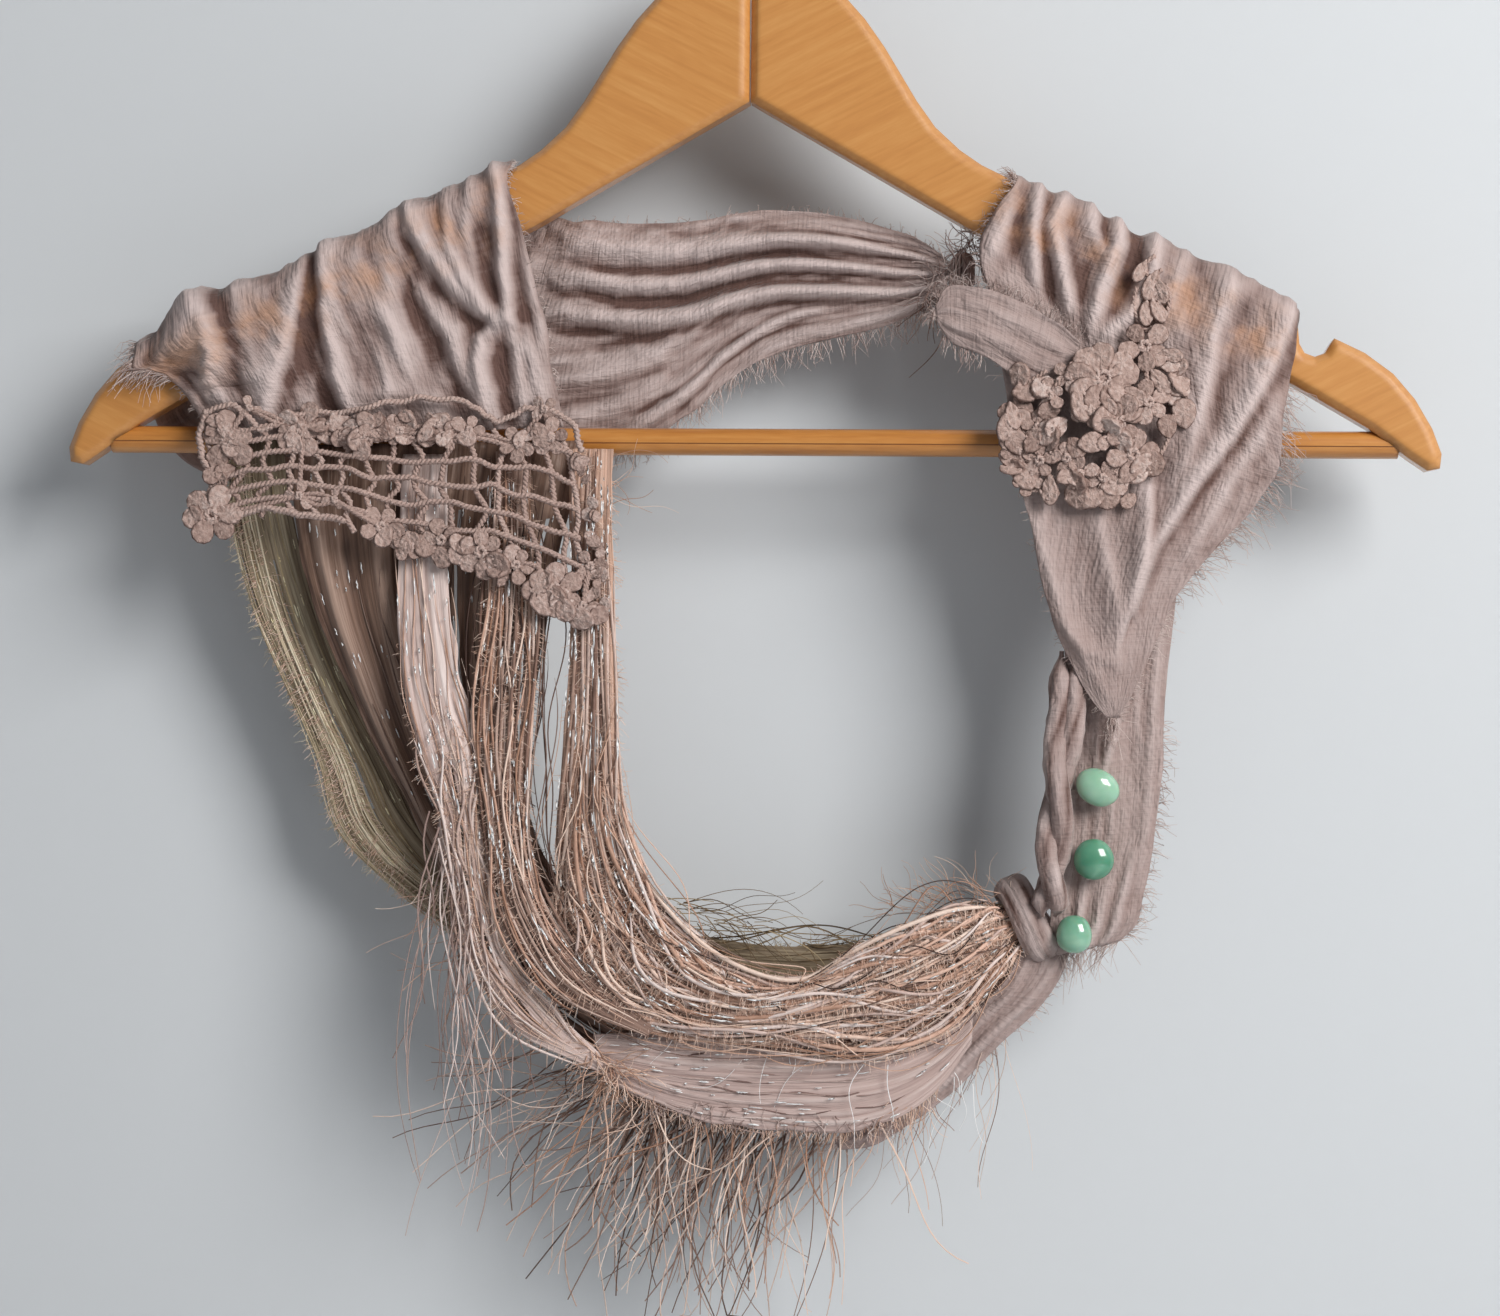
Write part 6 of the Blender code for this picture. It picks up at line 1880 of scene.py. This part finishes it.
# Flowers of the rosette.
ROSETTE_FLOWERS = (
    Motif(113.9, 19.6, 10.4, 9), Motif(127, 30, 7.4, 5), Motif(128.2, 12.1, 6.4, 5),
    Motif(119.3, 5.4, 6.6, 5), Motif(123.6, -4.6, 7.4, 6), Motif(103.1, 20.2, 4.6, 5),
    Motif(96.8, 14.1, 4.6, 5), Motif(93.4, 3.9, 4.8, 5), Motif(87.3, -3.4, 4.6, 5), Motif(94, -6.6, 5.2, 5),
    Motif(102.5, -5.9, 5, 5), Motif(90.5, -12.6, 5, 5), Motif(106.6, -10.9, 5.2, 5),
    Motif(109.9, 9.1, 5.5, 4), Motif(114, -12, 4.6, 5),
)
# Its leaves: x and z of root and head.
ROSETTE_LEAVES = (
    (130.8, 27.9, 139.4, 26.4), (128.7, 22.9, 135.1, 14.7), (105.1, 17.4, 108.2, 5.1),
    (97.4, -10.6, 97.5, -21), (84.3, 12.5, 86.6, 3),
)
# Its rim, as x and z.
ROSETTE_RIM = (
    (96, 22), (87.5, 15.5), (85.3, 5.9), (86.5, -2.1), (84.6, -9), (92, -15.9), (100.5, -13.1),
    (111.9, -17.5), (122.1, -13.2), (132.5, -4), (136.5, 8), (137, 20), (130, 31.5),
)
# The line that its inner pads follow.
ROSETTE_INSIDE = (
    (99, 16), (95, 6), (99, -3), (110, -1), (116, 8), (124, 16),
)
# The scrap's leaves.
SCRAP_LEAVES = (
    (131, 54.6, 127.2, 44.6), (129.4, 53, 133.6, 43.5), (127.6, 45.4, 127.3, 36.2), (129, 46, 133.2, 37.4),
    (127.5, 57.5, 123.6, 50.5),
)


@dataclass
class Rosette(Lacework):
    """The scrunched crochet piece on the right drape, and the strip of leaves above it."""

    centre: Span = (112.0, 6.0)
    reach: float = 27.5
    dome: float = 5.5

    def depth_at(self, x: Array, z: Array) -> Array:
        """Depth of the dome: a half cosine from its middle to its rim, with a hollow at the left."""
        far = np.hypot(x - self.centre[0], z - self.centre[1]) / self.reach
        hollow = 3.0 * np.exp(-(((x - 93) / 7) ** 2) - ((z - 9) / 7) ** 2)
        return -17.0 - self.dome * np.cos(np.clip(far, 0, 1) * np.pi / 2) + hollow

    def scrap_depth(self, x: Array, z: Array) -> Array:
        """Depth of the scrap, which lies nearly flat on the drape."""
        return -14.2 + 0 * x

    def leaf_skin(self, table: Any, depth: Any, seed: int) -> Skin:
        """Single leaves from a table of root and head places."""
        flat = np.array(table)
        pick = np.random.default_rng(seed)
        ends = [laid(flat[:, k : k + 2], depth, lift) for k, lift in ((0, 0.8), (2, 1.4))]
        normals = unit(FRONT + pick.normal(0, 0.2, (len(flat), 3)))
        return self.petals(ends[0], ends[1], normals, 0.62, np.full(len(flat), 0.56))

    def build(self) -> list[Piece]:
        """The rosette and the scrap."""
        path = laid(np.array(ROSETTE_RIM), self.depth_at, -0.2)
        skins = self.flowers(ROSETTE_FLOWERS, self.depth_at, 23)
        skins += [self.leaf_skin(ROSETTE_LEAVES, self.depth_at, 24), self.yarn(path, 0.8, 0.5)]
        skins.append(self.scatter(ROSETTE_INSIDE, 22, 3.0, (6.0, 9.5), self.depth_at, 27))
        skins.append(self.scatter(ROSETTE_RIM, 36, 1.8, (6.0, 10.5), self.depth_at, 26))
        made = joined(skins).object("rosette_crochet")
        dress(made, CROCHET, ["crochet_rosette"])

        loops = [
            [(130.2, -14.8, 59.0), (127.1, -14.8, 56.5), (128.4, -14.8, 52.3), (132.5, -14.8, 54.6)],
            [(133.6, -14.9, 50.0), (135.0, -14.9, 45.0), (133.0, -14.9, 38.5), (128.0, -14.9, 35.2)],
            [(124.5, -14.9, 49.0), (123.6, -14.9, 43.0), (125.5, -14.9, 37.5), (128.0, -14.9, 34.8)],
        ]
        pieces = [self.yarn(np.array(loop), 0.8, 0.5) for loop in loops]
        scrap = joined([self.leaf_skin(SCRAP_LEAVES, self.scrap_depth, 25), *pieces]).object("scrap_crochet")
        return [made, dress(scrap, CROCHET, ["crochet_scrap"])]


@dataclass
class Studio:
    """A pale wall close behind the hanger, a pale floor below, soft lights and the camera."""

    wall_y: float = 0.040
    floor_z: float = -0.95

    def plane(self, name: str, corners: Sequence[Sequence[float]], finish: Finish) -> Piece:
        """A flat rectangle that isn't part of the object."""
        mesh = bpy.data.meshes.new(name)
        mesh.from_pydata([tuple(corner) for corner in corners], [], [(0, 1, 2, 3)])
        made = bpy.data.objects.new(name, mesh)
        bpy.context.scene.collection.objects.link(made)
        made.data.materials.append(finish.material())
        return made

    def light(self, name: str, place_at: Sequence[float], aim: Sequence[float], size: float, power: float,
              colour: str) -> None:
        """A square area light that looks at a point."""
        data = bpy.data.lights.new(name, "AREA")
        data.size, data.energy, data.color = size, power, linear(colour)[:3]
        lamp = bpy.data.objects.new(name, data)
        lamp.location = place_at
        lamp.rotation_euler = (Vector(aim) - Vector(place_at)).to_track_quat("-Z", "Y").to_euler()
        bpy.context.scene.collection.objects.link(lamp)

    def camera(self) -> None:
        """The camera, almost level, a little from the left and rolled by half a degree."""
        data = bpy.data.cameras.new("camera")
        data.lens, data.sensor_width = 81.25, 36
        turn, roll, target = math.radians(3.5), 0.0087, Vector((0.0013, 0, -0.2891))
        right = Vector((math.cos(turn), math.sin(turn), 0))
        forward = Vector((-math.sin(turn), math.cos(turn), 0))
        x_axis = right * math.cos(roll) + right.cross(forward) * math.sin(roll)
        z_axis = -forward
        made = bpy.data.objects.new("camera", data)
        made.matrix_world = Matrix((x_axis, z_axis.cross(x_axis), z_axis)).transposed().to_4x4()
        made.matrix_world.translation = target - forward * 1.1
        bpy.context.scene.collection.objects.link(made)
        bpy.context.scene.camera = made

    def build(self) -> None:
        """Stage, lights and camera."""
        y, low, wide = self.wall_y, self.floor_z, 1.6
        wall = self.plane("wall", [(-wide, y, -1.9), (wide, y, -1.9), (wide, y, 0.9), (-wide, y, 0.9)],
                          WallFinish("matt_wall_paint", "#d6dade", True))
        wall.visible_diffuse = False
        self.plane("floor", [(-3, -3, low), (3, -3, low), (3, 3, low), (-3, 3, low)],
                   WallFinish("matt_floor_paint", "#d9dcdf"))
        self.light("window", (1.15, -1.3, 0.5), (0.0, 0.0, -0.25), 0.9, 36.0, "#fffdfa")
        self.light("fill", (0.9, -1.2, -1.3), (0.1, 0.0, -0.35), 1.0, 7.5, "#f4f8ff")
        self.light("back", (0.3, 1.5, 0.6), (0.0, 0.0, -0.25), 1.2, 14.0, "#fff7ee")
        world = bpy.data.worlds.new("studio")
        world.use_nodes = True
        world.node_tree.nodes["Background"].inputs["Color"].default_value = linear("#e9ebee")
        world.node_tree.nodes["Background"].inputs["Strength"].default_value = 0.22
        bpy.context.scene.world = world
        bpy.context.scene.view_settings.view_transform = "Standard"
        self.camera()


def main() -> None:
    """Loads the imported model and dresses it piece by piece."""
    logging.basicConfig(level=logging.INFO, format="%(name)s: %(message)s")
    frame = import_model()
    Studio().build()
    Hanger().build(frame["nodes"])
    Bindings().build()
    Beads().build()
    LaceBand().build()
    Rosette().build()
    drapes = Drapes()
    ribbons = Ribbons()
    sheets, strips = drapes.build(), ribbons.build()
    for piece, held, rests_on, trims in sheets.values():
        declare(piece)
    torn, loose = TornStrips(ribbons.cloths).build(), LooseThreads().build()
    torn["mauve"] += loose
    for name, piece in strips.items():
        declare(piece)


if __name__ == "__main__":
    main()
